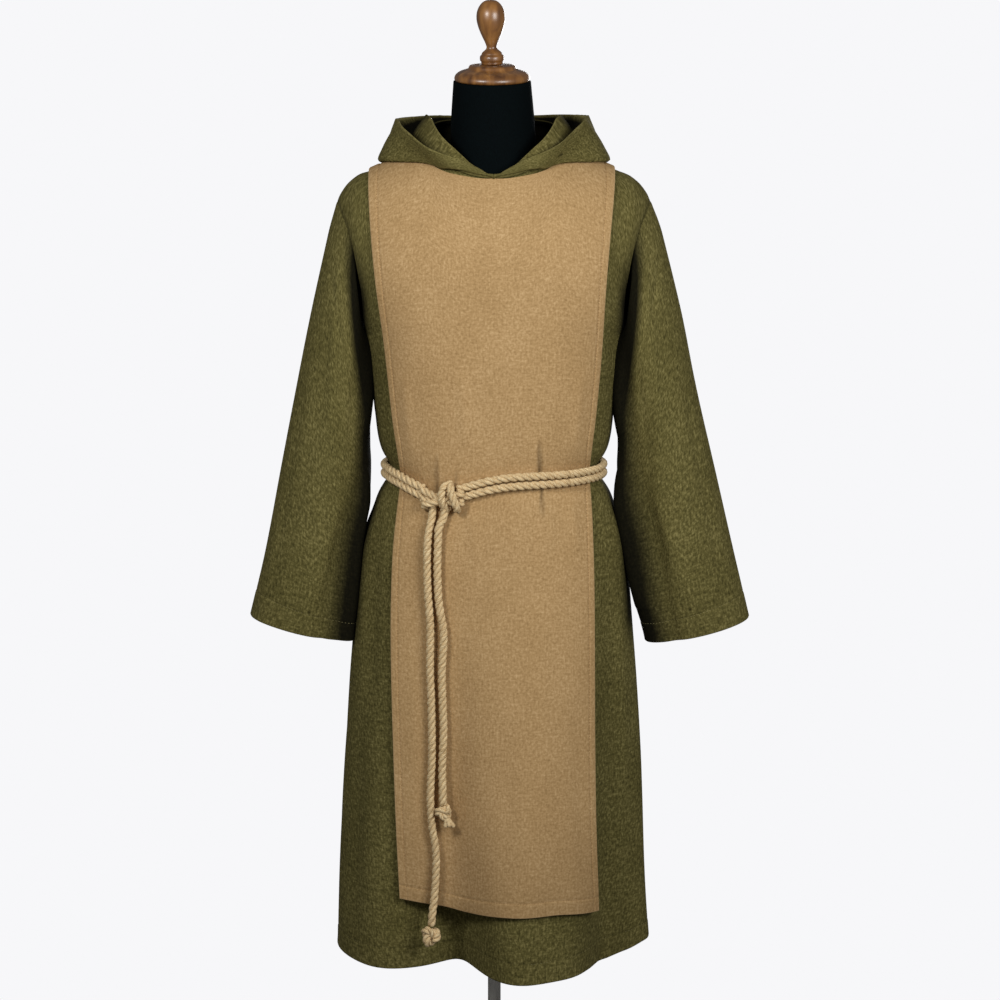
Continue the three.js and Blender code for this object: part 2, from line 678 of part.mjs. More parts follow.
// ---- ropes ----
const ROPE_SIDES = 8;
function rope(points, step = 30) {
  const path = new THREE.CatmullRomCurve3(points, false, 'centripetal');
  const section = new THREE.Shape();
  for (let k = 0; k < ROPE_SIDES; k += 1) {
    const turn = (360 * k) / ROPE_SIDES;
    const [x, y] = [ROPE_RADIUS * cos(turn), ROPE_RADIUS * sin(turn)];
    if (k === 0) section.moveTo(x, y);
    else section.lineTo(x, y);
  }
  const steps = Math.max(2, Math.round(path.getLength() / step));
  return new THREE.ExtrudeGeometry(section, { steps, bevelEnabled: false, extrudePath: path });
}

// the belt lies on the tunic, and on the scapular where that is under it
const BELT_ROOM = 1.2;
const BELT_OVER_EDGE = { clear: 4, rise: 12 }; // where it comes up beside the scapular's edge
const SCAPULAR_AT_BELT = CLOTH + SCAPULAR_ROOM.room(BELT_HEIGHT);
function beltOut(turn) {
  const deep = cos(turn) > 0 ? BODY.front(BELT_HEIGHT) : BODY.back(BELT_HEIGHT);
  return vec(deep * sin(turn), -BODY.side(BELT_HEIGHT) * cos(turn), 0).normalize();
}

function beltPoint(turn, height) {
  const wrapped = turn > 180 ? turn - 360 : turn;
  const ring = ringPoint(wrapped, BELT_HEIGHT);
  const face = cos(wrapped) > 0 ? 'front' : 'back';
  const edge = SCAPULAR_EDGE[face][edgeName(ring.x)](BELT_HEIGHT);
  const { clear, rise } = BELT_OVER_EDGE;
  const onScapular = THREE.MathUtils.smoothstep(edge + clear + rise - Math.abs(ring.x), 0, rise);
  const out = ROPE_RADIUS + BELT_ROOM + onScapular * SCAPULAR_AT_BELT;
  return ring.addScaledVector(beltOut(wrapped), out).add(vec(0, 0, height));
}

const BELT_STRAND = ROPE_RADIUS + 0.25; // half the distance between the two turns of rope
const KNOT = { halfWidth: 20, halfHeight: 18, halfDepth: 10, corner: 4, bevel: 3, bevelIn: 2 };
const knotTurn = THREE.MathUtils.radToDeg(Math.asin(KNOT_X / BODY.side(BELT_HEIGHT)));
const knotOut = beltOut(knotTurn);
const KNOT_ROOM = 3; // between the scapular's surface row and the knot's flat back
const knotCentre = ringPoint(knotTurn, BELT_HEIGHT)
  .addScaledVector(knotOut, KNOT.halfDepth + CLOTH + KNOT_ROOM);

const KNOT_CLEAR = 9.8; // degrees from the knot's middle to where the rope goes into it
const BELT_POINTS = 45;
function beltStrand(height) {
  const turns = Array.from({ length: BELT_POINTS }, (_, k) => (
    knotTurn + lerp(KNOT_CLEAR, 360 - KNOT_CLEAR, k / (BELT_POINTS - 1))));
  return rope(turns.map((turn) => beltPoint(turn, height)), 24);
}

function knot() {
  const shape = new THREE.Shape();
  const { halfWidth: w, halfHeight: h, halfDepth: d, corner, bevel, bevelIn } = KNOT;
  shape.moveTo(-w + corner, -h);
  shape.lineTo(w - corner, -h);
  shape.quadraticCurveTo(w, -h, w, -h + corner);
  shape.lineTo(w, h - corner);
  shape.quadraticCurveTo(w, h, w - corner, h);
  shape.lineTo(-w + corner, h);
  shape.quadraticCurveTo(-w, h, -w, h - corner);
  shape.lineTo(-w, -h + corner);
  shape.quadraticCurveTo(-w, -h, -w + corner, -h);
  const rounding = { bevelThickness: bevel, bevelSize: bevelIn, bevelOffset: -bevelIn, bevelSegments: 2 };
  const solid = new THREE.ExtrudeGeometry(shape, { depth: 2 * (d - bevel), curveSegments: 3, ...rounding });
  solid.translate(0, 0, bevel - d);
  solid.rotateX(Math.PI / 2);
  return solid;
}

// the front of the scapular at x and height, for what hangs on it
function scapularFront(x, height) {
  let [low, high] = [-Q_EDGE, Q_EDGE];
  for (let k = 0; k < 30; k += 1) {
    const q = (low + high) / 2;
    if (bodyPoint('front', q, { level: height }, 'scapular').x < x) low = q;
    else high = q;
  }
  const place = bodyPoint('front', low, { level: height }, 'scapular');
  return place.y - SCAPULAR_ROOM.room(height) - CLOTH;
}

// hanging ends: x, height, and how far the rope's middle is from the scapular's face
const LONG_END = [
  [-97, 879, 9],
  [-97.6, 809, 9],
  [-94, 752, 9],
  [-94.5, 682, 9],
  [-93, 638, 9],
  [-92.5, 550, 9],
  [-95, 490, 9],
  [-93, 446, 9],
  [-87, 402, 9],
  [-89, 342, 12],
  [-93.5, 301, 18],
];
const SHORT_END = [
  [-80.5, 897, 10],
  [-81.8, 878, 9],
  [-82.8, 832, 9],
  [-80.8, 786, 9],
  [-74.2, 740, 9],
  [-76.8, 682, 9],
  [-76, 638, 9],
  [-74.8, 593, 9],
  [-77, 535, 11],
  [-76, 489, 15],
];
const END_STRAIGHT = 10; // the rope runs straight into what is at its ends
const TOUCH = 0.1;
// along is how far the rope leaves the knot's underside from its middle
function hangingPoints(rows, along) {
  const side = vec(-knotOut.y, knotOut.x, 0);
  const top = knotCentre.clone().addScaledVector(side, along).setZ(knotCentre.z - KNOT.halfHeight - TOUCH);
  const points = rows.map(([x, height, out]) => vec(x, scapularFront(x, height) - out, height));
  const down = vec(0, 0, -END_STRAIGHT);
  return [top, top.clone().add(down), ...points, points.at(-1).clone().add(down)];
}

// an overhand knot with a flat top, where the rope goes in
function ropeKnot(width, height) {
  const profile = [
    [0, 0], [0.2 * width, 0.02 * height], [0.4 * width, 0.2 * height], [0.5 * width, 0.5 * height],
    [0.45 * width, 0.78 * height], [0.33 * width, height], [0, height],
  ];
  return turned(profile, 12);
}

// ---- the form and its stand ----
const NECK_X = -2.5; // the neck stands a little to one side
const FORM = table('step sideX sideZ frontY frontZ backY backZ', [
  [0, 168, 800, 103, 800, 113, 800],
  [1, 165, 850, 101, 850, 111, 850],
  [2, 148, 930, 95, 930, 103, 930],
  [3, 138, 975, 93, 975, 99, 975],
  [4, 142, 1030, 97, 1030, 103, 1030],
  [5, 152, 1110, 105, 1110, 109, 1110],
  [6, 160, 1190, 110, 1190, 113, 1190],
  [7, 168, 1260, 112, 1260, 113, 1260],
  [8, 178, 1330, 107, 1310, 111, 1320],
  [9, 187, 1376, 100, 1341, 104, 1356],
  [10, 185, 1398, 92, 1366, 92, 1371],
  [11, 164, 1411, 88, 1376, 82, 1391],
  [12, 124, 1426, 84, 1386, 76, 1408],
  [13, 89, 1434, 76, 1406, 67, 1428],
  [14, 69, 1440, 71, 1421, 57, 1438],
  [15, 63, 1456, 68, 1445, 54, 1455],
  [16, 62, 1478, 63, 1465, 57, 1478],
  [17, 60, 1505, 60, 1505, 58, 1505],
  [18, 57, 1541, 57, 1533.9, 57, 1548.1],
]);
const FORM_STEPS = 18;
const FORM_LEAN_FROM = 13; // from this step up the rings move over to the neck
const FORM_TURNS = 20;

function formTorso() {
  const rings = [];
  for (let k = 0; k <= FORM_STEPS; k += 1) {
    const lean = clamp((k - FORM_LEAN_FROM) / (FORM_STEPS - FORM_LEAN_FROM), 0, 1);
    const ring = [];
    for (let n = 0; n < FORM_TURNS; n += 1) {
      const turn = (360 * n) / FORM_TURNS;
      const face = cos(turn) > 0 ? 'front' : 'back';
      const share = lerp(sin(turn) ** 2, 1 - Math.abs(cos(turn)), lean);
      const x = FORM.sideX(k) * sin(turn) + NECK_X * lean;
      const y = -FORM[`${face}Y`](k) * cos(turn);
      ring.push(vec(x, y, lerp(FORM[`${face}Z`](k), FORM.sideZ(k), share)));
    }
    rings.push(ring);
  }
  const position = rings.flat().flatMap((p) => [p.x, p.y, p.z]);
  const centre = (ring) => ring.reduce((sum, p) => sum.add(p), vec(0, 0, 0)).divideScalar(ring.length);
  for (const ring of [rings[0], rings[FORM_STEPS]]) position.push(...centre(ring).toArray());
  const bottom = rings.length * FORM_TURNS;
  const index = [];
  for (let n = 0; n < FORM_TURNS; n += 1) {
    const next = (n + 1) % FORM_TURNS;
    for (let k = 0; k < FORM_STEPS; k += 1) {
      const [a, b] = [k * FORM_TURNS + n, k * FORM_TURNS + next];
      index.push(a, b, b + FORM_TURNS, a, b + FORM_TURNS, a + FORM_TURNS);
    }
    const top = FORM_STEPS * FORM_TURNS;
    index.push(bottom, next, n, bottom + 1, top + n, top + next);
  }
  const geometry = new THREE.BufferGeometry();
  geometry.setAttribute('position', new THREE.Float32BufferAttribute(position, 3));
  geometry.setIndex(index);
  return geometry;
}

// a turned piece, from [radius, height] pairs that start and end on the axis
function turned(profile, segments) {
  const points = profile.map(([radius, height]) => new THREE.Vector2(radius, height));
  return new THREE.LatheGeometry(points, segments).rotateX(Math.PI / 2);
}

const CAP_HEIGHT = 24;
const CAP_PROFILE = [
  [0, 0], [55, 0], [55.5, 4], [54, 10], [47, 15], [35, 18.5], [34, 22], [22, CAP_HEIGHT],
  [0, CAP_HEIGHT],
];
const FINIAL_PROFILE = [
  [0, 0], [12, 0], [17, 3], [17.5, 10], [15, 17], [9.5, 22], [9.2, 26], [14, 36], [19, 50], [21, 65],
  [19.5, 76], [14, 86], [7, 91.5], [0, 93],
];
const SOCKET = { foot: 24, neck: 19, radius: 18, height: 38, room: 0.4 }; // holds the pole
const BASE_PROFILE = [
  [0, 0], [BASE_RADIUS, 0], [BASE_RADIUS, BASE_THICKNESS - 2], [BASE_RADIUS - 3, BASE_THICKNESS],
  [SOCKET.foot, BASE_THICKNESS + 2], [SOCKET.neck, BASE_THICKNESS + 6], [SOCKET.radius, SOCKET.height],
  [POLE_RADIUS + SOCKET.room, SOCKET.height], [POLE_RADIUS + SOCKET.room, BASE_THICKNESS], [0, BASE_THICKNESS],
];

// ---- colours and the finished group ----
const MATERIALS = {
  olive: { color: 0x5a5430, roughness: 0.95 },
  tan: { color: 0xac8c62, roughness: 0.95 },
  rope: { color: 0xd0bfa0, roughness: 0.9 },
  jersey: { color: 0x06090a, roughness: 0.9 },
  wood: { color: 0x6f4a30, roughness: 0.3 },
  steel: { color: 0x9a9890, roughness: 0.3, metalness: 1 },
  paint: { color: 0x2a2a2a, roughness: 0.5 },
};
const habit = new THREE.Group();

function add(name, geometry, material, place = vec(0, 0, 0), parent = habit) {
  const mesh = new THREE.Mesh(geometry, new THREE.MeshStandardMaterial(MATERIALS[material]));
  mesh.name = name;
  mesh.position.copy(place);
  parent.add(mesh);
  return mesh;
}

for (const face of ['front', 'back']) {
  add(`robe_${face}`, robePanel(face), 'olive');
  add(`scapular_${face}`, scapularPanel(face), 'tan');
}
for (const [name, side] of [['left', -1], ['right', 1]]) {
  add(`sleeve_${name}`, sleeve(side), 'olive');
  add(`hood_${name}`, hood(side), 'olive');
}
add('belt_upper', beltStrand(BELT_STRAND), 'rope');
add('belt_lower', beltStrand(-BELT_STRAND), 'rope');
add('belt_knot', knot(), 'rope', knotCentre).rotation.z = Math.atan2(knotOut.x, -knotOut.y);

const END_ASIDE = 9.5; // the ends leave the knot side by side
const longPoints = hangingPoints(LONG_END, -END_ASIDE);
const shortPoints = hangingPoints(SHORT_END, END_ASIDE);
add('cord_long', rope(longPoints), 'rope');
add('cord_short', rope(shortPoints), 'rope');
const LONG_KNOT = { width: 30, height: 32, aside: -2 };
const SHORT_KNOT = { width: 24, height: 24, aside: 1 };
for (const [name, points, size] of [['long', longPoints, LONG_KNOT], ['short', shortPoints, SHORT_KNOT]]) {
  const foot = points.at(-1).clone().add(vec(size.aside, 0, -size.height - TOUCH));
  add(`knot_${name}`, ropeKnot(size.width, size.height), 'rope', foot);
}

add('form_torso', formTorso(), 'jersey');
const neckTop = new THREE.Group();
neckTop.position.set(NECK_X, 0, FORM_TOP + SEAM_GAP);
neckTop.rotation.x = deg(NECK_TILT);
habit.add(neckTop);
add('neck_cap', turned(CAP_PROFILE, 28), 'wood', vec(0, 0, 0), neckTop);
const finialLift = SEAM_GAP + FINIAL_PROFILE[1][0] * sin(FINIAL_LEAN);
add('finial', turned(FINIAL_PROFILE, 18), 'wood', vec(0, 0, CAP_HEIGHT + finialLift), neckTop)
  .rotation.y = -deg(FINIAL_LEAN);
const poleLength = FORM_FLOOR - BASE_THICKNESS - 2 * SEAM_GAP;
const pole = new THREE.CylinderGeometry(POLE_RADIUS, POLE_RADIUS, poleLength, 16);
pole.rotateX(Math.PI / 2);
add('pole', pole, 'steel', vec(0, 0, (FORM_FLOOR + BASE_THICKNESS) / 2));
add('base', turned(BASE_PROFILE, 36), 'paint');

export default habit;
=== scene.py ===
"""A monk's habit on a limbless dress form: wool tunic, hood, scapular and rope belt.

In words, one formula draws all the cloth:

    point = ring of the body at a turn and a height (or the shoulder's arch above the armpit)
            + outward normal x (deep folds + layers underneath + fine creases)

A panel is that formula on a grid of columns and rows, and its wall is the same grid moved
inwards by the cloth's thickness. Rope is three strands wound round a route.
Lengths in the tables are millimetres; meshes are metres in the part's own frame.
"""

# %% [markdown]
# # Open the part
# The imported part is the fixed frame. Its solids stay where they are, and each finished piece
# below stands in front of one of them.

# %% Load the frame and note its size
import math

import bpy
import numpy as np
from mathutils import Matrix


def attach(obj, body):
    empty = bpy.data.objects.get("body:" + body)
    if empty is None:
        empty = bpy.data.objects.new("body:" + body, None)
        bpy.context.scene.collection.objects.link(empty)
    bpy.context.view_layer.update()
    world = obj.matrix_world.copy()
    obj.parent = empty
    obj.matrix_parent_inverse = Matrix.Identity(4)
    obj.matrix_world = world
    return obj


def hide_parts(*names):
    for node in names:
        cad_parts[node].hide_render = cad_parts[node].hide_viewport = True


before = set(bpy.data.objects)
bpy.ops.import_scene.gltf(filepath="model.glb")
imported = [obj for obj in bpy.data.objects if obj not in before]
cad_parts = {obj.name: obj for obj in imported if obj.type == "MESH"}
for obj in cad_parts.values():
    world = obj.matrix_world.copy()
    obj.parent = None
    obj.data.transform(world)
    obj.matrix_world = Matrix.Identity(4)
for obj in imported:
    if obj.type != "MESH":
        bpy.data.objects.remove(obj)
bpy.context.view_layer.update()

# %% [markdown]
# # The camera
# A camera could be aimed at a target, or placed and pitched. It is placed and pitched here,
# because the view was worked out from the stand's height: 3.5 m in front, a little above the
# shoulders, and looking 10 degrees down with a portrait lens.

# %% Place the camera
CAMERA_PLACE = (0.009, -3.5, 1.534)
CAMERA_TILT = 80  # degrees up from looking straight down
SENSOR_WIDTH, LENS = 36, 84.5  # mm

camera = bpy.data.objects.new("camera", bpy.data.cameras.new("camera"))
camera.location = CAMERA_PLACE
camera.rotation_euler = (math.radians(CAMERA_TILT), 0, 0)
camera.data.sensor_width = SENSOR_WIDTH
camera.data.lens = LENS
bpy.context.scene.collection.objects.link(camera)
bpy.context.scene.camera = camera
print("camera", CAMERA_PLACE)

# %% [markdown]
# # Mesh and material helpers
# A mesh could be grown face by face, or written in one go from whole arrays. Whole arrays are
# short and fast, so one helper takes points and faces, and also a flat layout in metres for
# the weave to follow. A painted shading kept on each point darkens or pales the colour in place
# of light: 1 is a painted shade, nearly black, deep inside, 0 is none, and below 0 is a painted
# highlight that pales an edge.

# %% Write a mesh from arrays
MM = 0.001


def mesh_object(name, points, faces, uv, smooth=True, painted_shading=None):
    """points in mm, faces as an (n, 3) or (n, 4) array; for each point, uv in metres and a painted shading.
    """
    mesh = bpy.data.meshes.new(name)
    mesh.from_pydata((np.asarray(points) * MM).tolist(), [], np.asarray(faces).tolist())
    mesh.polygons.foreach_set("use_smooth", np.full(len(mesh.polygons), smooth))
    corner = np.empty(len(mesh.loops), np.int32)
    mesh.loops.foreach_get("vertex_index", corner)
    layer = mesh.uv_layers.new(name="flat")
    layer.uv.foreach_set("vector", np.asarray(uv)[corner].astype(np.float32).ravel())
    if painted_shading is not None:
        shade = mesh.attributes.new("painted_shading", "FLOAT", "POINT")
        shade.data.foreach_set("value", np.clip(painted_shading, -1, 1).astype(np.float32).ravel())
    mesh.update()
    piece = bpy.data.objects.new(name, mesh)
    bpy.context.scene.collection.objects.link(piece)
    return piece


def finished(piece, material, slot, *nodes):
    """Gives a piece its material, fixes it to the part, and hides the solids that it stands for."""
    piece.data.materials.append(material)
    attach(piece, "root")
    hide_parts(*nodes)
    print(f"{piece.name}: {len(piece.data.polygons)} faces")
    return piece


print("tables are in mm, meshes in m:", MM)

# %% [markdown]
# A material is a small graph. It could be built by hand in the node editor; helpers that add a
# node with its sockets filled keep each one to a few lines here. Most of them need the same
# three things: noise for the pattern, a ramp for its colours and a fine relief.

# %% Build materials from few words
def colour(red, green, blue):
    """A screen colour, 0 to 255, as linear light with alpha."""
    c = np.array([red, green, blue]) / 255
    return (*np.where(c <= 0.04045, c / 12.92, ((c + 0.055) / 1.055) ** 2.4), 1.0)


def node(tree, kind, inputs=None, **settings):
    """A new node. Each input is another node's output, which gets linked, or a plain value."""
    made = tree.nodes.new(kind)
    for key, value in settings.items():
        setattr(made, key, value)
    for key, value in (inputs or {}).items():
        if isinstance(value, bpy.types.NodeSocket):
            tree.links.new(value, made.inputs[key])
        else:
            made.inputs[key].default_value = value
    return made


def new_material(name, sockets):
    """A material, its graph and its shader, with the shader's plain values by name."""
    material = bpy.data.materials.new(name)
    material.use_nodes = True
    tree = material.node_tree
    shader = tree.nodes["Principled BSDF"]
    for socket, value in sockets.items():
        shader.inputs[socket].default_value = value
    return material, tree, shader


def plain_material(name, shade, roughness, metallic=0.0):
    """One colour with one sheen."""
    return new_material(name, {"Base Color": shade, "Roughness": roughness, "Metallic": metallic})[0]


print("middle grey as light:", round(float(colour(128, 128, 128)[0]), 3))

# %% Patterns for materials
def flat_layout(tree):
    """The mesh's flat layout, in metres of cloth."""
    return node(tree, "ShaderNodeUVMap", uv_map="flat").outputs[0]


def place_in_object(tree):
    """The place in the piece itself, in metres."""
    return node(tree, "ShaderNodeTexCoord").outputs["Object"]


def noise(tree, vector, stretch, **sockets):
    """Noise from 0 to 1 at vector x stretch, so a bigger stretch makes it finer that way."""
    place = node(tree, "ShaderNodeMapping", {0: vector, 3: stretch}).outputs[0]
    return node(tree, "ShaderNodeTexNoise", {"Vector": place, "Scale": 1.0, **sockets}).outputs[0]


def blend(tree, share, a, b):
    """Value a where the share is 0, and b where it is 1."""
    return node(tree, "ShaderNodeMix", {0: share, 2: a, 3: b}).outputs[0]


def tint(tree, share, a, b):
    """Colour a where the share is 0 or less, and b where it is 1."""
    return node(tree, "ShaderNodeMix", {0: share, 6: a, 7: b}, data_type="RGBA").outputs[2]


def ramp(tree, value, *stops):
    """A colour ramp through (place, colour) stops."""
    made = node(tree, "ShaderNodeValToRGB", {0: value})
    for k, (place, shade) in enumerate(stops):
        stop = made.color_ramp.elements[k] if k < 2 else made.color_ramp.elements.new(place)
        stop.position, stop.color = place, shade
    return made.outputs[0]


def surface(tree, shader, base, height=None, strength=0.0, depth=0.0):
    """Links the shader's colour, and a relief whose heights differ by up to depth metres."""
    tree.links.new(base, shader.inputs["Base Color"])
    if height is not None:
        relief = node(tree, "ShaderNodeBump", {"Strength": strength, "Distance": depth, "Height": height})
        tree.links.new(relief.outputs[0], shader.inputs["Normal"])


print("a relief needs a height, a strength and a depth in metres")

# %% [markdown]
# # Wool
# The cloth is heathered: dark and light fibres are spun together, so it is flecked rather
# than plain. Its yarns also run in rows. Photographs of cloth would repeat and need files, so
# both come from noise on the flat layout: round flecks for the fibres, and long thin noise each
# way for warp and weft. Broad slow noise makes it uneven, as wool is. The mesh's painted shading
# takes it to nearly black as painted shade in the depths, and to a paler colour as a painted
# highlight on edges.

# %% Make the two wools
PAINTED_SHADE_LEVEL, PAINTED_HIGHLIGHT_GAIN = 0.04, 1.3  # share of the dark colour for painted shade deep inside, and gain on the light one for a painted highlight on edges


def wool(name, dark, middle, light, grain, spread):
    """Colour = ramp of (fibres + yarns + cloud), then darkened by painted shade and paled by a painted
    highlight, as the mesh's painted shading says.

    Noise is stretched by how often it varies in a metre of cloth. A grain under 1 makes flecks
    longer than they are wide, and a wide spread makes them fainter.
    """
    material, tree, shader = new_material(name, {"Roughness": 0.95, "Specular IOR Level": 0.12})
    flat = flat_layout(tree)
    fibres = noise(tree, flat, (260, 260 * grain, 1), Detail=3.0, Roughness=0.7)
    warp = noise(tree, flat, (420, 70, 1), Roughness=0.6)
    weft = noise(tree, flat, (70, 420, 1), Roughness=0.6)
    yarns = blend(tree, 0.45, warp, weft)
    cloud = noise(tree, flat, (14, 9, 1), Detail=4.0, Roughness=0.6)
    shade = blend(tree, 0.14, blend(tree, 0.4, fibres, yarns), cloud)
    base = ramp(tree, shade, (0.5 - spread, dark), (0.5, middle), (0.5 + spread, light))
    # Painted shading from the mesh: painted shade towards near-black, painted highlight towards pale.
    painted_shading = node(tree, "ShaderNodeAttribute", attribute_name="painted_shading").outputs["Fac"]
    painted_highlight = node(tree, "ShaderNodeMath", {0: painted_shading, 1: -1.0}, operation="MULTIPLY").outputs[0]
    painted_shade_colour = (*(PAINTED_SHADE_LEVEL * c for c in dark[:3]), 1.0)
    painted_highlight_colour = (*(min(1.0, PAINTED_HIGHLIGHT_GAIN * c) for c in light[:3]), 1.0)
    base = tint(tree, painted_highlight, tint(tree, painted_shading, base, painted_shade_colour), painted_highlight_colour)
    surface(tree, shader, base, blend(tree, 0.5, fibres, yarns), 0.22, 0.0009)
    return material


olive_colours = colour(50, 46, 19), colour(94, 87, 47), colour(142, 132, 83)
tan_colours = colour(134, 104, 64), colour(176, 143, 98), colour(214, 182, 136)
olive = wool("olive_wool", *olive_colours, grain=0.65, spread=0.145)
tan = wool("tan_wool", *tan_colours, grain=0.9, spread=0.21)
print("wools:", olive.name, tan.name)

# %% [markdown]
# # Rope
# Real three-strand rope is three round strands laid round one another. A rope could be a tube
# with a painted twist, but its edge would then be straight. Here each strand is a tube of its
# own that winds round the route, and the yarns in a strand are fine lines on its flat layout.
#
# A smooth route goes through a few points: a Catmull-Rom curve, sampled again at even steps.

# %% Routes through points
def unit(v):
    """Vectors divided by their lengths."""
    return v / np.maximum(np.linalg.norm(v, axis=-1, keepdims=True), 1e-12)


def hermite(start, end, rise, fall, t):
    """A cubic from start to end for t from 0 to 1, which leaves with slope rise and ends with fall."""
    curve = start * (1 - t) ** 2 * (1 + 2 * t) + end * t * t * (3 - 2 * t)
    return curve + rise * t * (1 - t) ** 2 - fall * t * t * (1 - t)


def lengths_along(line):
    """How far along a line each of its points is."""
    return np.concatenate([[0], np.cumsum(np.linalg.norm(np.diff(line, axis=0), axis=1))])


def read_off(values, along, at):
    """Rows of values at other places along, each in a straight line between its neighbours."""
    return np.stack([np.interp(at, along, column) for column in values.T], axis=1)


def smooth_route(points, step=None, count=None):
    """A smooth line through the points (centripetal, so it never loops back), evenly stepped."""
    p = np.asarray(points, float)
    p = np.vstack([2 * p[0] - p[1], p, 2 * p[-1] - p[-2]])
    gap = np.sqrt(np.linalg.norm(np.diff(p, axis=0), axis=1))[:, None]
    slope = np.diff(p, axis=0) / gap
    tangent = slope[:-1] - (p[2:] - p[:-2]) / (gap[:-1] + gap[1:]) + slope[1:]
    rise, fall = tangent[:-1] * gap[1:-1], tangent[1:] * gap[1:-1]
    t = np.linspace(0, 1, 24, endpoint=False)[None, :, None]
    line = hermite(p[1:-2, None], p[2:-1, None], rise[:, None], fall[:, None], t)
    line = np.vstack([line.reshape(-1, 3), p[-2]])
    along = lengths_along(line)
    return read_off(line, along, np.linspace(0, along[-1], count or max(3, round(along[-1] / step) + 1)))


bend = smooth_route([(10, 0, 0), (7.07, 7.07, 0), (0, 10, 0)], 1.0)
print("a quarter of a 10 mm circle measures", round(float(lengths_along(bend)[-1]), 1), "mm")

# %% [markdown]
# A tube is rings set square to its route and joined in order. The frame that carries the rings
# turns as little as it can, because a frame that follows the curve's own bend would flip where
# the bend changes sides.

# %% Tubes and other solids made of rings
STRAND_SIDES = 10
YARN_TWIST = -0.05  # turns that the yarns make round a strand for each mm


def carried_frame(route):
    """Two directions square to the route at each point, turned as little as possible along it."""
    tangent = unit(np.gradient(route, axis=0))
    side = np.empty_like(route)
    side[0] = unit(np.cross(tangent[0], (1.0, 0.3, 0.1)))
    for k in range(1, len(route)):
        side[k] = unit(side[k - 1] - tangent[k] * (side[k - 1] @ tangent[k]))
    return tangent, side, np.cross(tangent, side)


def ring_solid(rings, low_end, high_end):
    """Points and triangles of rings joined in order, with a fan to a point at either end."""
    n, m = rings.shape[:2]
    k, j = np.meshgrid(np.arange(n - 1), np.arange(m), indexing="ij")
    a, b = (k * m + j).ravel(), (k * m + (j + 1) % m).ravel()
    j, end, top = np.arange(m), np.full(m, n * m), (n - 1) * m
    after = (j + 1) % m
    corners = [(a, b, b + m), (a, b + m, a + m), (end, after, j), (end + 1, top + j, top + after)]
    faces = np.concatenate([np.stack(three, axis=1) for three in corners])
    return np.concatenate([rings.reshape(-1, 3), [low_end, high_end]]), faces


def tube(route, radius):
    """Ring = route + radius x (side cos a + up sin a). The radius may vary, and ends are rounded."""
    tangent, side, up = carried_frame(route)
    angle = np.linspace(0, 2 * np.pi, STRAND_SIDES, endpoint=False)
    radius = np.broadcast_to(radius, len(route))
    ring = side[:, None] * np.cos(angle)[:, None] + up[:, None] * np.sin(angle)[:, None]
    ends = route[0] - tangent[0] * radius[0] / 2, route[-1] + tangent[-1] * radius[-1] / 2
    points, faces = ring_solid(route[:, None] + radius[:, None, None] * ring, *ends)
    along = lengths_along(route)[:, None]
    u = angle / (2 * np.pi) + YARN_TWIST * along
    v = np.broadcast_to(along * MM, u.shape)
    flat = np.stack([u, v], axis=-1).reshape(-1, 2)
    return points, faces, np.concatenate([flat, [[0, 0], [0, v[-1, 0]]]])


def joined(parts):
    """Several (points, faces, uv) as one."""
    starts = np.cumsum([0] + [len(p) for p, _, _ in parts[:-1]])
    return (
        np.concatenate([p for p, _, _ in parts]),
        np.concatenate([f + s for (_, f, _), s in zip(parts, starts)]),
        np.concatenate([u for _, _, u in parts]),
    )


print("a strand has", STRAND_SIDES, "sides")

# %% [markdown]
# The rope's colour: pale plant fibre with darker lines between the yarns, partly the fibre's own
# tone and partly painted shade in the grooves. The yarns' lines run a little
# across the strand, the other way from the rope's own twist.

# %% Lay the rope
ROPE_RADIUS = 6.2
STRAND_RADIUS = 3.15
STRANDS = 3
LAY = 34.0  # mm along the rope for a full turn of its strands
ROPE_STEP = 3.0


def rope(route, radius=ROPE_RADIUS):
    """Strand k = route + reach x (side cos a + up sin a), with a = full turns of (length / LAY + k / 3)."""
    _, side, up = carried_frame(route)
    size = radius / ROPE_RADIUS
    reach = (ROPE_RADIUS - STRAND_RADIUS + 0.1) * size
    strands = []
    for k in range(STRANDS):
        angle = 2 * np.pi * (lengths_along(route) / LAY + k / STRANDS)[:, None]
        line = route + reach * (side * np.cos(angle) + up * np.sin(angle))
        strands.append(tube(line, STRAND_RADIUS * size))
    return joined(strands)


def rope_material():
    """Colour = ramp of (yarns as noise drawn out along the strand, and fuzz as very fine noise)."""
    material, tree, shader = new_material("rope", {"Roughness": 0.85, "Specular IOR Level": 0.2})
    yarn = noise(tree, flat_layout(tree), (9, 60, 1), Detail=3.0, Roughness=0.7)
    fuzz = noise(tree, place_in_object(tree), (900, 900, 900))
    shade = blend(tree, 0.35, yarn, fuzz)
    # Low yarn noise is a groove in the relief and the dark stop: partly fibre tone, partly painted shade.
    stops = (0.32, colour(138, 108, 66)), (0.5, colour(212, 184, 138)), (0.68, colour(246, 228, 186))
    surface(tree, shader, ramp(tree, shade, *stops), shade, 0.6, 0.0007)
    return material


hemp = rope_material()
print("rope radius", ROPE_RADIUS, "mm")

# %% [markdown]
# # The two hanging ends
# Each end leaves the underside of the belt's knot, falls down the front in slow curves and
# goes into an overhand knot. The route points are the part's own, in metres. A simulation
# would give other curves each time; typed points stay put.

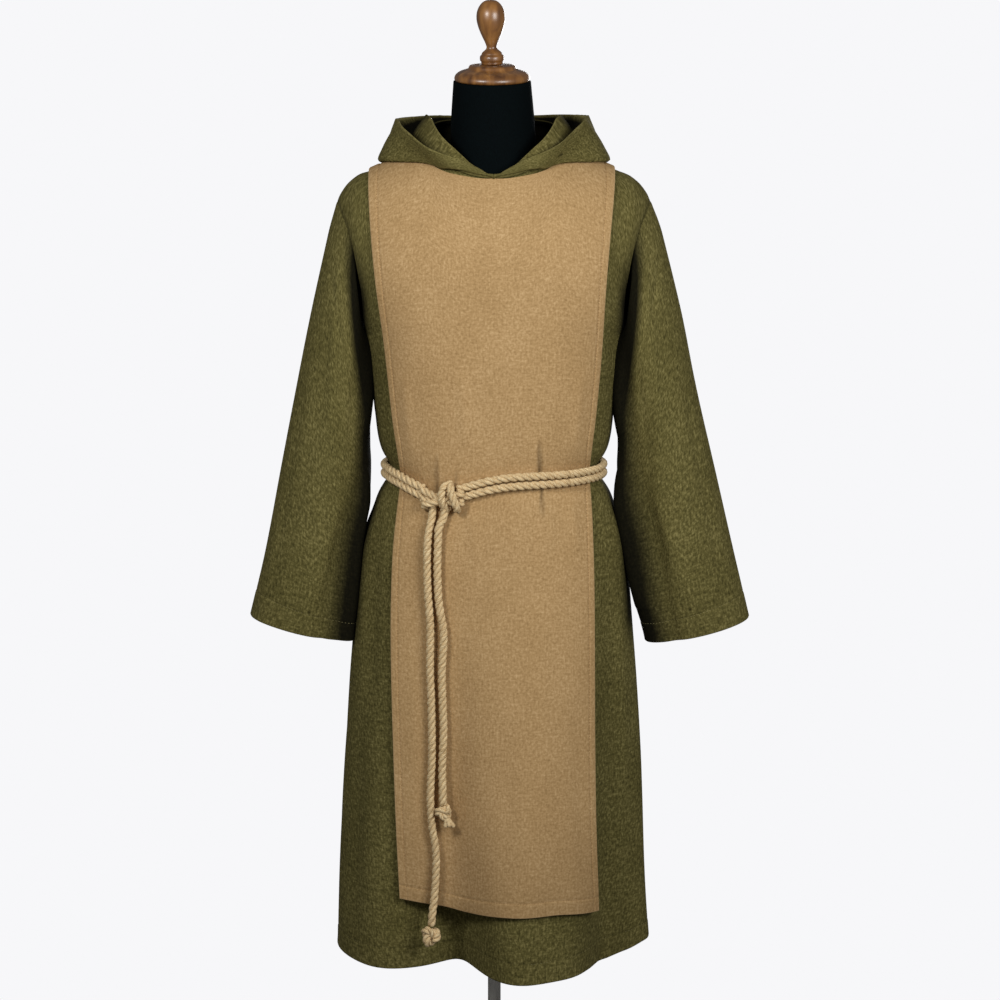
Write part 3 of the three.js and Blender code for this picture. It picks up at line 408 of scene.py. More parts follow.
# %% Hang the two ends
LONG_ROUTE = [
    (-0.0904, -0.1094, 0.9239), (-0.0904, -0.1094, 0.9139), (-0.0970, -0.1183, 0.8790),
    (-0.0976, -0.1226, 0.8090), (-0.0940, -0.1251, 0.7520), (-0.0945, -0.1261, 0.6820),
    (-0.0930, -0.1266, 0.6380), (-0.0925, -0.1266, 0.5500), (-0.0950, -0.1262, 0.4900),
    (-0.0930, -0.1260, 0.4460), (-0.0870, -0.1256, 0.4020), (-0.0890, -0.1283, 0.3420),
    (-0.0935, -0.1343, 0.3010), (-0.0935, -0.1343, 0.2910),
]
SHORT_ROUTE = [
    (-0.0727, -0.1164, 0.9239), (-0.0727, -0.1164, 0.9139), (-0.0805, -0.1216, 0.8970),
    (-0.0818, -0.1222, 0.8780), (-0.0828, -0.1249, 0.8320), (-0.0808, -0.1266, 0.7860),
    (-0.0742, -0.1281, 0.7400), (-0.0768, -0.1281, 0.6820), (-0.0760, -0.1281, 0.6380),
    (-0.0748, -0.1279, 0.5930), (-0.0770, -0.1292, 0.5350), (-0.0760, -0.1328, 0.4890),
    (-0.0760, -0.1328, 0.4790),
]
END_KNOTS = {  # centre, size, and lean in radians
    "long": ((-95.5, -134.3, 274.0), (10.6, 8.5, 12.0), 0.3),
    "short": ((-75.0, -132.8, 467.5), (8.8, 7.5, 7.8), -0.5),
}
KNOT_OPENING = 0.35  # radians of the knot's curve left open at either end
KNOT_ROPE = 6.0


def about_y(angle):
    """A turn about the axis from front to back: rows (c, 0, -s), (0, 1, 0), (s, 0, c)."""
    c, s = math.cos(angle), math.sin(angle)
    return np.array([[c, 0, -s], [0, 1, 0], [s, 0, c]])


def overhand(centre, size, lean):
    """A trefoil pulled tight: x = sin t + 2 sin 2t, y = -1.2 sin 3t, z = cos t - 2 cos 2t."""
    t = np.linspace(KNOT_OPENING, 2 * np.pi - KNOT_OPENING, 60)
    line = np.stack(
        [np.sin(t) + 2 * np.sin(2 * t), -np.sin(3 * t) * 1.2, np.cos(t) - 2 * np.cos(2 * t)], axis=1
    )
    return np.asarray(centre) + line / 3 @ about_y(lean) * size


def loose_strands():
    """The short end's cut tip has come apart: three strands spread from the knot."""
    strands = []
    for k, (x, y) in enumerate(((-5, -1), (1, -4), (7, 0))):
        middle, tip = (-69 + 0.4 * x, -136 + 0.4 * y, 455), (-67 + x, -136 + y, 446 + 2 * (k % 2))
        line = smooth_route([(-72, -135, 462), middle, tip], 2.0)
        strands.append(tube(line, np.linspace(3.2, 3.6, len(line))))
    return strands


for name, route_m in (("long", LONG_ROUTE), ("short", SHORT_ROUTE)):
    route = smooth_route(np.array(route_m) / MM, ROPE_STEP)
    hanging = finished(mesh_object(f"{name}_end", *rope(route)), hemp, "rope", f"cord_{name}")
    loops = [rope(overhand(*END_KNOTS[name]), KNOT_ROPE)] + (loose_strands() if name == "short" else [])
    end_knot = finished(mesh_object(f"{name}_end_knot", *joined(loops)), hemp, "rope", f"knot_{name}")

# %% [markdown]
# # The body under the cloth
# Every cloth surface needs the same base, so its sizes stand in small tables and a smooth
# curve runs through each column. A plain cubic would overshoot where the waist is pulled in;
# Steffen's choice of slopes keeps every stretch between its two rows.

# %% Tables with smooth columns
def table(names, *rows):
    """Columns of a table as functions of its first: between two rows, a cubic with Steffen's slopes."""
    rows = np.array(rows, float)
    x, y = rows[:, 0], rows[:, 1:]
    h = np.diff(x)[:, None]
    slope = np.diff(y, axis=0) / h
    before, after = slope[:-1], slope[1:]
    mean = (before * h[1:] + after * h[:-1]) / (h[1:] + h[:-1])
    least = np.minimum(np.minimum(abs(before), abs(after)), abs(mean) / 2)
    tangent = np.vstack([slope[:1], (np.sign(before) + np.sign(after)) * least, slope[-1:]])

    def column(k):
        def at(place):
            place = np.clip(place, x[0], x[-1])
            i = np.clip(np.searchsorted(x, place, side="right") - 1, 0, len(x) - 2)
            rise, fall = tangent[i, k] * h[i, 0], tangent[i + 1, k] * h[i, 0]
            return hermite(y[i, k], y[i + 1, k], rise, fall, (place - x[i]) / h[i, 0])

        return at

    return {name: column(k) for k, name in enumerate(names.split()[1:])}


halfway = table("x y", (0, 0), (1, 1), (2, 1))["y"](0.5)
print("halfway up a step:", round(float(halfway), 2))

# %% [markdown]
# The body is described as a tailor measures it: its reach to the side, front and back at each
# height, how far out the scapular's edges are, the shoulders' slope, and the armhole. Folds are
# rows of their own, because each runs down the skirt and grows towards the hem.

# %% Write down the body's sizes
BODY = table(
    "height side front back",
    (210, 246, 150, 152), (364, 236.7, 143, 147), (525, 228, 137, 141), (699, 215, 131, 134),
    (805, 205.5, 127, 130), (849, 200.5, 125, 128), (881, 192.5, 123, 125), (909, 182.5, 120.5, 120),
    (932, 173.5, 117.5, 115), (946, 165, 115, 110), (957, 158, 113.5, 107), (975, 158, 113.5, 107),
    (986, 165, 115, 109.5), (1000, 171.5, 117, 113), (1053, 180, 120.5, 117), (1105, 185, 123.5, 119.5),
    (1140, 188.5, 125.5, 120), (1172, 196, 126.5, 120.5), (1200, 208, 127.5, 120),
    (1250, 224, 128.5, 119.5), (1303, 235, 128.5, 118.5), (1368, 250, 128, 118), (1480, 262, 128, 118),
)
EDGE = {
    "front": table(
        "height left right",
        (300, 146, 158), (432, 149, 153), (556, 150.5, 151), (709, 151.5, 149), (844, 148.5, 146.5),
        (934, 141, 143), (966, 137.5, 141), (1053, 147.5, 148.5), (1156, 158, 157), (1258, 170, 162),
        (1358, 178, 169), (1424, 183, 177),
    ),
    "back": table(
        "height left right",
        (300, 150, 150), (600, 151, 151), (844, 147, 147), (966, 140, 140), (1156, 157, 156),
        (1258, 168, 163), (1358, 177, 171), (1424, 183, 177),
    ),
}
SHOULDER = table(
    "across height",
    (0, 1478), (40, 1470), (60, 1461), (77, 1450), (100, 1441.5), (120, 1434.5), (150, 1424.5),
    (183, 1411), (205, 1401), (220, 1387), (232, 1368), (240, 1350),
)
ARMHOLE = table(
    "height across", (1172, 196), (1200, 196.5), (1250, 199), (1303, 207), (1345, 221), (1368, 232)
)
FOLDS = np.array(
    [  # turn, spread, out at the hem on the tunic, and on the scapular
        (-33, 8, -20, -15), (-16, 9, -78, -34), (8, 9, 30, 30), (27, 8, 12, 12), (56, 14, -53, -28),
        (122, 12, -30, -12), (150, 10, 22, 22), (178, 10, -42, -18), (-150, 10, 20, 20),
        (-124, 12, -26, -10),
    ]
)
HEM, BELT, ARMPIT, ARCH = 210.0, 966.0, 1172.0, 1240.0  # heights
SEAM_Y, NECK_HALF, TIP = 5.0, 77.0, 232.0  # the side seams' depth; the neck and shoulder's half widths
Q_EDGE, Q_NECK = 0.6, 0.3  # columns of the scapular's edges and of the neckline's ends
EDGE_LEVEL = 1424.0  # where the scapular's edges cross the shoulders
BULGE, ARCH_POWER, FOLD_GROWTH = 0.06, 2.2, 1.3
DIP, DIP_TURN, DIP_ACROSS, DIP_TALL = 24.0, -29.0, -76.0, 57.0  # the belt sags under its knot
NECK_DROP = {"front": 46.0, "back": 4.0}
print("waist half width", float(BODY["side"](BELT)), "mm")

# %% [markdown]
# # The cloth's base surface
# A column `q` runs from -1 at one side seam to 1 at the other, with the scapular's edges at
# 0.6 and the neckline's ends at 0.3. A row `w` is 0 at the hem, 1 at the armpit and 2 at the
# shoulder seam. Below the armpit a point lies on a ring of the body; above it, on an arch that
# closes over the shoulders.

# %% Rings below the armpit
def sind(angle):
    """Sine of degrees."""
    return np.sin(np.radians(angle))


def cosd(angle):
    """Cosine of degrees."""
    return np.cos(np.radians(angle))


def bump(x, spread):
    """A bell: 1 in its middle, 0.61 at the spread and nearly 0 at three times the spread."""
    return np.exp(-((x / spread) ** 2) / 2)


def near(distance, spread):
    """A slimmer bell, 0.37 at the spread."""
    return np.exp(-((distance / spread) ** 2))


def mix(a, b, t):
    """a + (b - a) x t: a where t is 0, and b where it is 1."""
    return a + (b - a) * t


def ring_point(turn, level, cloth="tunic"):
    """(side sin a, seam - deep cos a, level) + outward normal x folds, lower under the knot."""
    wide = BODY["side"](level)
    deep = np.where(cosd(turn) > 0, BODY["front"](level), BODY["back"](level))
    grown = np.clip((BELT - level) / (BELT - HEM), 0, 1) ** FOLD_GROWTH
    out = 0
    for place, spread, tunic, scapular in FOLDS:
        away = (turn - place + 180) % 360 - 180
        out = out + (tunic if cloth == "tunic" else scapular) * grown * bump(away, spread)
    nx, ny = deep * sind(turn), -wide * cosd(turn)
    size = np.hypot(nx, ny)
    dip = DIP * bump(turn - DIP_TURN, 17) * bump(level - BELT, DIP_TALL)
    y = SEAM_Y - deep * cosd(turn) * (1 + BULGE * sind(2 * turn) ** 2) + ny / size * out
    return np.stack([wide * sind(turn) + nx / size * out, y, level - dip], axis=-1)


print("front of the waist", ring_point(0.0, BELT).round(1))

# %% Columns, and the arch above the armpit
def arch_rise(x, z):
    """0 up to the arch's foot, and 1 on the shoulders."""
    return np.maximum(0, (z - ARCH) / (SHOULDER["height"](abs(x)) - ARCH))


def upper_y(face, x, z):
    """Depth above the armpit = ring's depth x bulge x root of (1 - rise to the arch's power)."""
    s = np.clip(abs(x) / BODY["side"](z), 0, 1)
    c = np.sqrt(1 - s * s)
    sign = -1 if face == "front" else 1
    closing = np.sqrt(np.maximum(0, 1 - arch_rise(x, z) ** ARCH_POWER))
    return SEAM_Y + sign * BODY[face](z) * c * (1 + BULGE * (2 * s * c) ** 2) * closing


def edge_across(face, q, level):
    """How far out the scapular's edge is on the column's own side."""
    return np.where(q < 0, EDGE[face]["left"](level), EDGE[face]["right"](level))


def column_turn(face, q, level):
    """The turn where a column crosses a level: in even steps to the edge, then on to the side."""
    a = abs(q)
    edge = np.degrees(np.arcsin(edge_across(face, q, level) / BODY["side"](level)))
    return np.sign(q) * np.where(a < Q_EDGE, edge * a / Q_EDGE, mix(edge, 90, (a - Q_EDGE) / (1 - Q_EDGE)))


def column_top(face, q):
    """Across and height where a column ends: the neckline or the shoulder seam."""
    a = abs(q)
    outer = edge_across("front", q, EDGE_LEVEL)
    turn = 90 * np.minimum(a / Q_NECK, 1)
    to_edge = mix(NECK_HALF, outer, (a - Q_NECK) / (Q_EDGE - Q_NECK))
    x = np.where(a < Q_EDGE, to_edge, mix(outer, TIP, (a - Q_EDGE) / (1 - Q_EDGE)))
    neck_z = SHOULDER["height"](NECK_HALF) - NECK_DROP[face] * cosd(turn)
    at_neck = a <= Q_NECK
    return np.where(at_neck, NECK_HALF * sind(turn), x), np.where(at_neck, neck_z, SHOULDER["height"](x))


def upper_point(face, q, v):
    """A column above the armpit: v is 0 there and 1 on top, and columns past the edge meet the armhole."""
    a, sign = abs(q), np.where(q < 0, -1.0, 1.0)
    top_x, top_z = column_top(face, q)
    outside = np.clip((a - Q_EDGE) / (1 - Q_EDGE), 0, 1)
    z = ARMPIT + (top_z - ARMPIT) * mix(sind(90 * v), (1 - cosd(180 * v)) / 2, outside)
    edge_turn = abs(column_turn(face, Q_EDGE * sign, ARMPIT))
    inner = np.minimum(a, Q_EDGE) / Q_EDGE
    low = edge_across(face, q, z) * sind(edge_turn * inner) / sind(edge_turn)
    x = mix(low, column_top(face, np.minimum(a, Q_EDGE) * sign)[0], v * v)
    arm_z = ARMPIT + (SHOULDER["height"](TIP) - ARMPIT) * (1 - cosd(180 * v)) / 2
    turn = abs(column_turn(face, q, ARMPIT))
    start = (sind(turn) - sind(edge_turn)) / (1 - sind(edge_turn))
    x = np.where(outside > 0, mix(x, ARMHOLE["across"](arm_z), mix(start, outside, v)), x)
    x = sign * np.where(v >= 1, top_x, x)
    return np.stack([x, upper_y(face, x, z), z], axis=-1)


def body_point(face, q, w, cloth="tunic"):
    """The base surface: rings for rows up to 1, and the arch for rows from 1 to 2."""
    q, w = np.broadcast_arrays(np.asarray(q, float), np.asarray(w, float))
    level = mix(HEM, ARMPIT, np.minimum(w, 1))
    turn = column_turn(face, q, level)
    lower = ring_point(turn if face == "front" else 180 - turn, level, cloth)
    upper = upper_point(face, q, np.clip(w - 1, 0, 1))
    return np.where((w <= 1)[..., None], lower, upper)


print("hem's front middle", body_point("front", 0, 0).round(1))

# %% [markdown]
# # From a surface to a wall of cloth
# Blender could thicken a surface with a modifier. A wall made here keeps its rims exact and
# its outside where the part has it: the inside is the same grid moved in along the normals.

# %% Grids, normals and walls
def grid_normal(points, closed=False):
    """Unit normals of a grid of points, rows first."""
    if closed:
        padded = np.concatenate([points[:, -1:], points, points[:, :1]], axis=1)
        along = np.gradient(padded, axis=1)[:, 1:-1]
    else:
        along = np.gradient(points, axis=1)
    return unit(np.cross(along, np.gradient(points, axis=0)))


def wall(outside, inside, closed=False):
    """Points, faces and flat layout of a closed wall between two grids, faces turned outwards."""
    rows, cols = outside.shape[:2]
    ids = np.arange(rows * cols).reshape(rows, cols)
    if closed:
        ids = np.concatenate([ids, ids[:, :1]], axis=1)
    inner = ids + rows * cols

    def quads(a, b, c, d):  # four grids of corners as rows of four
        return np.stack([a, b, c, d], axis=-1).reshape(-1, 4)

    faces = [
        quads(ids[:-1, :-1], ids[:-1, 1:], ids[1:, 1:], ids[1:, :-1]),
        quads(inner[:-1, :-1], inner[1:, :-1], inner[1:, 1:], inner[:-1, 1:]),
        quads(ids[0, :-1], inner[0, :-1], inner[0, 1:], ids[0, 1:]),
        quads(ids[-1, :-1], ids[-1, 1:], inner[-1, 1:], inner[-1, :-1]),
    ]
    if not closed:
        faces += [
            quads(ids[:-1, 0], ids[1:, 0], inner[1:, 0], inner[:-1, 0]),
            quads(ids[:-1, -1], inner[:-1, -1], inner[1:, -1], ids[1:, -1]),
        ]
    faces = np.concatenate(faces)
    points = np.concatenate([outside.reshape(-1, 3), inside.reshape(-1, 3)])
    a, b, c, d = (points[faces[:, k]] for k in range(4))
    if (a * np.cross(b, c) + a * np.cross(c, d)).sum() < 0:
        faces = faces[:, ::-1]
    across = np.linalg.norm(np.diff(outside, axis=1), axis=2).cumsum(axis=1)
    across = np.concatenate([np.zeros((rows, 1)), across], axis=1)
    across -= across[:, cols // 2 : cols // 2 + 1]
    up = np.linalg.norm(np.diff(outside, axis=0), axis=2).cumsum(axis=0)
    up = np.concatenate([np.zeros((1, cols)), up], axis=0).mean(axis=1, keepdims=True)
    flat = np.stack([across, np.broadcast_to(up, across.shape)], axis=-1).reshape(-1, 2) * MM
    return points, faces, np.concatenate([flat, flat + [0.37, 0.21]])


CLOTH = 2.2
print("cloth", CLOTH, "mm")

# %% [markdown]
# Creases
# Big folds are in the base surface. The smaller ones are strokes: each runs from one place to
# another on a face, and is a soft ridge (out) or valley (in). Stroke tables are short, and
# what they leave is covered by very slow, low unevenness, as hung wool has.

# %% Strokes and unevenness
def strokes(x, z, rows):
    """Height of all strokes at (x, z). Rows: x and z of both ends, half width, height."""
    total = np.zeros(np.broadcast(x, z).shape)
    for x0, z0, x1, z1, spread, height in rows:
        dx, dz = x1 - x0, z1 - z0
        t = ((x - x0) * dx + (z - z0) * dz) / (dx * dx + dz * dz)
        off = abs((x - x0) * dz - (z - z0) * dx) / math.hypot(dx, dz)
        fade = np.sin(np.pi * np.clip(t, 0, 1)) ** 0.7
        total += height * fade * bump(off, spread)
    return total


# a wave's row: how fast it varies across and up, how short it is, and where it starts
WAVES = np.random.default_rng(11).uniform(-1, 1, (14, 4))


def uneven(x, z, size):
    """Slow unevenness from a few crossing waves, between about -1 and 1."""
    total = 0
    for a, b, c, d in WAVES:
        total = total + np.sin((x * a + z * b * 0.6) / size * (1 + abs(c)) + 9 * d)
    return total / 6


def within(distance):
    """1 below 0 and 0 above it, with a soft step about 2 mm wide."""
    return (1 - np.tanh(distance)) / 2


stroke = strokes(0, np.array([0, 5]), [(-1, 0, 1, 0, 5, 2.0)])
print("a 2 mm stroke on its line and 5 mm beside it:", stroke.round(2))

# %% [markdown]
# A stroke's row gives x and height of both its ends, its half width and its height, in mm. The
# belt pinches short creases as well: a ridge on both sides of each line, and painted shade along
# it. Their last number sets how dark that painted shade is, and, times 4.5, how high the ridges stand.

# %% Place the creases
TUNIC_STROKES = {
    "front": [
        (-196, 900, -222, 420, 9, 3.5), (-205, 640, -214, 230, 8, -4), (-176, 905, -186, 600, 8, -3),
        (-232, 560, -240, 230, 7, 3), (178, 905, 205, 500, 9, 4), (205, 700, 226, 240, 9, -4),
        (186, 520, 190, 215, 8, 4), (-60, 330, -52, 212, 10, 4), (70, 330, 66, 212, 10, -3),
        (-205, 1395, -196, 1240, 8, 2.5), (204, 1395, 197, 1240, 8, 2.5), (-186, 1330, -180, 1130, 7, -2),
        (186, 1330, 178, 1130, 7, -2),
    ],
    "back": [
        (-190, 900, -215, 420, 9, 4), (-205, 660, -220, 230, 8, -4), (185, 905, 212, 480, 9, 4),
        (200, 640, 222, 240, 9, -4), (-50, 330, -46, 212, 10, 4), (90, 330, 84, 212, 10, -3),
        (-203, 1395, -194, 1240, 8, 2.5), (203, 1395, 196, 1240, 8, 2.5),
    ],
}
SCAPULAR_STROKES = {
    "front": [
        (-40, 1010, -46, 1130, 6, 2.2), (-18, 990, -10, 1090, 5, -1.2), (36, 995, 30, 1100, 6, 1.8),
        (70, 1000, 78, 1110, 5, -1.2), (76, 940, 84, 860, 5, 2.6), (64, 940, 60, 840, 5, -1.6),
        (-30, 930, -26, 840, 6, 2.0), (20, 940, 26, 820, 7, 1.6), (110, 945, 122, 850, 6, 2.0),
        (-120, 1000, -128, 1120, 6, 1.8), (118, 1000, 126, 1130, 6, 2.0), (-110, 700, -126, 380, 12, 3),
        (-20, 760, -30, 360, 16, 3.2), (60, 800, 84, 340, 15, 3.4), (20, 620, 24, 320, 13, -2.6),
        (120, 640, 132, 330, 10, -2.4), (-60, 600, -66, 330, 10, -2.2), (-100, 1380, -60, 1240, 14, 1.6),
        (110, 1380, 70, 1250, 14, 1.6),
    ],
    "back": [
        (-50, 1010, -56, 1140, 6, 2.2), (10, 995, 6, 1100, 6, 1.8), (60, 1000, 70, 1110, 6, 2.0),
        (-20, 940, -26, 820, 7, 2.2), (50, 940, 58, 830, 6, 2.0), (-90, 700, -106, 380, 12, 3),
        (10, 760, 4, 360, 16, 3), (90, 800, 104, 340, 14, 3.2), (50, 620, 54, 320, 12, -2.4),
    ],
}
BELT_TUCKS = {
    "front": [
        (-82, 928, -84, 1004, 1.8, 0.55), (-56, 936, -54, 986, 1.8, 0.3), (67, 950, 66, 1026, 2, 0.75),
        (68, 975, 71, 910, 1.8, 0.6),
    ],
    "back": [
        (-44, 955, -46, 1016, 2, 0.6), (58, 955, 60, 1008, 1.8, 0.45), (22, 975, 24, 916, 1.8, 0.5),
    ],
}
for kind in (TUNIC_STROKES, SCAPULAR_STROKES, BELT_TUCKS):
    print({face: len(rows) for face, rows in kind.items()}, "strokes")

# %% [markdown]
# # The tunic's front and back
# Rows and columns are close together beside the hem and the seams, where the cloth turns
# quickly, and further apart between them. Under the scapular only the big folds are kept, so
# that the two layers never cross. The hem is turned up: its edge is a little thicker.

# %% Shape the tunic's cloth
def spaced(start, end, count, tight_start=(), tight_end=()):
    """Evenly spaced places with extra ones beside the two ends."""
    even = np.linspace(start, end, count)
    extra = np.concatenate([start + np.array(tight_start), end - np.array(tight_end)])
    return np.unique(np.concatenate([even, extra]).round(6))


def outward(points):
    """A grid's normals, each turned away from the body's middle."""
    normal = grid_normal(points)
    middle = np.zeros(points.shape) + [0, SEAM_Y, 0]
    middle[..., 2] = np.minimum(points[..., 2], ARCH)
    return normal * np.where(((points - middle) * normal).sum(axis=-1, keepdims=True) < 0, -1, 1)


TUNIC_HEM = 31.0  # height of the turned-up cloth
HEM_FADING = 150.0  # height up to which the hem's rise is felt
HEM_RISE = {  # how far the hem is pulled up, over the columns of a face
    "front": table(
        "q rise",
        (-1, 6), (-0.8, 3), (-0.6, 0), (0.5, 0), (0.6, -2), (0.66, -5), (0.74, -8), (0.84, 2),
        (0.93, 12), (1, 13),
    ),
    "back": table("q rise", (-1, 6), (-0.8, 2), (-0.6, 0), (0.6, 0), (0.8, 5), (1, 13)),
}


def tunic_surface(face, q, w):
    """The base surface with its hem line pulled up or let down a little."""
    base = body_point(face, q, w)
    fading = np.clip((HEM + HEM_FADING - base[..., 2]) / HEM_FADING, 0, 1) ** 2
    base[..., 2] += HEM_RISE[face]["rise"](q) * fading
    return base


def to_side(q, w):
    """About how far a column is from the side seam, or above the armpit from the armhole."""
    return (1 - abs(q)) * np.where(w > 1, 110, 260)


def tunic_detail(face, q, w, base):
    """Creases where nothing lies on the tunic + the hem - grooves at the hem and the seams."""
    x, z = base[..., 0], base[..., 2]
    bare = np.clip((abs(q) - Q_EDGE - 0.02) / 0.08, 0, 1)
    low = np.clip((330 - z) / 60, 0, 1) * (w < 1)
    free = np.maximum(bare, low * 0.6) * (1 - near(z - BELT, 22))
    out = (strokes(x, z, TUNIC_STROKES[face]) + 1.1 * uneven(x, z, 42)) * free
    up = (ARMPIT - HEM) * w
    hem = 0.5 * (up < TUNIC_HEM) * np.minimum(up / 1.5, 1) - 0.9 * near(up - TUNIC_HEM - 0.5, 1.6)
    tuck = np.clip((w - 0.93) / 0.07, 0, 1) * np.clip((1.75 - w) / 0.35, 0, 1)
    return out + hem - (0.7 + 3.5 * tuck) * near(to_side(q, w), 2 + 6 * tuck)


def painted_shade_beside_arms(q, w, z):
    """Painted shade beside the sleeves from 740 to 1220 mm up, fading beyond and less at the waist's gap,
    and in the armhole's seam.
    """
    seam = to_side(q, w)
    level = np.clip((1310 - z) / 90, 0, 1) * np.clip((z - 690) / 50, 0, 1) * (1 - 0.6 * near(z - 975, 45))
    across = np.where(w > 1, np.clip((30 - seam) / 16, 0, 1), np.clip((50 - seam) / 24, 0, 1))
    return np.maximum(0.94 * across * level, 0.35 * near(seam, 2.5) * (w > 1))


print("hem's side", tunic_surface("front", 1, 0).round(1))

# %% Sew the tunic's body
STEPS_Q, STEPS_W = ((120, 290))
SEAM_ROWS = (0.003, 0.008, 0.015)
HEM_ROWS = (0.0015, 0.004, 0.02, 0.03, 0.034, 0.037, 0.04)
for face in ("front", "back"):
    q = spaced(-1, 1, STEPS_Q, SEAM_ROWS, SEAM_ROWS)[None, :]
    w = spaced(0, 2, STEPS_W, HEM_ROWS, (0.004, 0.01))[:, None]
    base = tunic_surface(face, q, w)
    normal = outward(base)
    outside = base + normal * tunic_detail(face, q, w, base)[..., None]
    # Painted shading: painted shade beside the arms outside, and 0.9 of painted shade all over the inside.
    painted_shading = painted_shade_beside_arms(q, w, base[..., 2])
    painted_shading = np.concatenate([painted_shading.ravel(), np.full(painted_shading.size, 0.9)])
    piece = mesh_object(f"tunic_{face}", *wall(outside, outside - normal * CLOTH), painted_shading=painted_shading)
    finished(piece, olive, "olive_wool", f"robe_{face}")

# %% [markdown]
# # The scapular
# The two tan panels are the tunic's own surface moved out: by a little room that is least
# under the belt and most at the free hem, and by the cloth's thickness. The neck opening is
# lower than the tunic's, so a strip of the hood shows through it. Side and bottom hems are
# turned under and stitched: a raised band with a fine groove at its inner edge.

# %% Shape the scapular's cloth
ROOM = table(
    "level room",
    (300, 6.6), (700, 5), (900, 1.8), (945, 0.7), (985, 0.7), (1075, 1.5), (1300, 2), (1480, 2.4),
)
SCAPULAR_HEM = {
    "front": table("across height", (-146, 326), (-82, 315), (-42, 309), (28, 314), (84, 314), (158, 303)),
    "back": table("across height", (-150, 318), (-60, 312), (40, 309), (150, 316)),
}
NECK_OPENING = {
    "front": table("q share", (0, 0.907), (0.1, 0.854), (0.2, 0.766), (0.3, 0.71), (0.35, 0.87), (0.4, 1)),
    "back": table("q share", (0, 0.77), (0.1, 0.77), (0.2, 0.76), (0.3, 0.76), (0.35, 0.89), (0.4, 1)),
}
SIDE_HEM, BOTTOM_HEM = 13.0, 15.0
Q_LENGTH, LENGTH = 283.0, 1130.0  # mm for one q, and for the panel from hem to shoulder
CLOSING, CLOSING_ROW = 0.94, 1.7  # rows above this share of the panel close up under the neck opening
LOW_ROW = (310 - HEM) / (ARMPIT - HEM)  # the row that the bottom hem runs along, about


def scapular_row(face, q, s):
    """Row w of the base surface for a share s of the panel, 0 at its hem and 1 at its top."""
    x = body_point(face, q, LOW_ROW, "scapular")[..., 0]
    low = (SCAPULAR_HEM[face]["height"](x) - HEM) / (ARMPIT - HEM)
    top = 1 + NECK_OPENING[face]["share"](abs(q))
    closing = mix(CLOSING_ROW, top, (s - CLOSING) / (1 - CLOSING))
    return np.where(s < CLOSING, mix(low, CLOSING_ROW, s / CLOSING), closing)


def scapular_surface(face, q, s):
    """The tunic's surface, its normal, and the panel's room above it.

    room = the table's, with the belt's sag taken off + creases away from the belt and the
    shoulders + a ridge on both sides of each belt tuck
    """
    base = body_point(face, q, scapular_row(face, q, s), "scapular")
    x, z = base[..., 0], base[..., 2]
    sag = DIP * bump(z - BELT, DIP_TALL) * bump(x - DIP_ACROSS, 60) * (z <= 1180)
    free = (1 - near(z - BELT + 10, 20)) * np.clip((1400 - z) / 60, 0, 1)
    creases = strokes(x, z, SCAPULAR_STROKES[face]) + 0.8 * uneven(x + 300, z, 55)
    ridges = sum(strokes(x + step, z, BELT_TUCKS[face]) for step in (-4.5, 4.5)) * (1 - near(z - BELT, 13))
    out = ROOM["room"](z + sag) + creases * free + 4.5 * ridges
    return base, outward(base), np.maximum(out, 0.5)


def hem_relief(from_side, from_low):
    """A raised band inside the edges, with a groove along its stitches and a rounded rim."""
    band = np.maximum(within(from_side - SIDE_HEM), within(from_low - BOTTOM_HEM))
    groove = np.maximum(near(from_side - SIDE_HEM - 0.3, 1.1), near(from_low - BOTTOM_HEM - 0.3, 1.1))
    rim = np.minimum(np.minimum(from_side, from_low) / 1.6, 1)
    return (0.5 * band - 0.8 * groove) * (0.4 + 0.6 * rim) - 0.6 * (1 - rim)


print("room under the belt", round(float(ROOM["room"](BELT)), 1), "mm")

# %% Hang the scapular
side_rows = np.array([0.7, 1.6, 6, 10, 11.8, 12.6, 13.4, 14.4, 17]) / Q_LENGTH
low_rows = np.array([0.7, 1.6, 8, 13, 14.4, 15.4, 16.4, 18]) / LENGTH
STEPS_Q, STEPS_S = ((80, 240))
for face in ("front", "back"):
    q = spaced(-Q_EDGE, Q_EDGE, STEPS_Q, side_rows, side_rows)[None, :]
    s = spaced(0, 1, STEPS_S, low_rows, (0.0007, 0.0015))[:, None]
    base, normal, out = scapular_surface(face, q, s)
    from_side, from_low = (Q_EDGE - abs(q)) * Q_LENGTH, s * LENGTH
    inside = base + normal * out[..., None]
    outside = base + normal * (out + CLOTH - 0.4 + hem_relief(from_side, from_low))[..., None]
    # Painted shading: painted shade in the belt's tucks and darker towards the hem, where less light falls;
    # a painted highlight along the edges; and 0.5 of painted shade inside.
    painted_tuck_shade = strokes(base[..., 0], base[..., 2], BELT_TUCKS[face])
    low_shade = 0.17 * np.clip((470 - base[..., 2]) / 170, 0, 1)
    painted_highlight = 0.5 * near(np.minimum(from_side, from_low), 1.3)
    painted_shading = np.concatenate([(np.maximum(painted_tuck_shade, low_shade) - painted_highlight).ravel(), np.full(painted_tuck_shade.size, 0.5)])
    piece = mesh_object(f"scapular_{face}_cloth", *wall(outside, inside), painted_shading=painted_shading)
    finished(piece, tan, "tan_wool", f"scapular_{face}")

# %% [markdown]
# # Sleeves
# A sleeve is a wide tube from the armhole's slanted ring to the cuff's flat oval. Its outer
# line is straight, as hung cloth is; its inner line is pulled in to hang just clear of the
# side. Turn 0 is the underarm, 90 the front and 180 the top. Folds run down it as a table of
# turns, each with where it begins and ends.

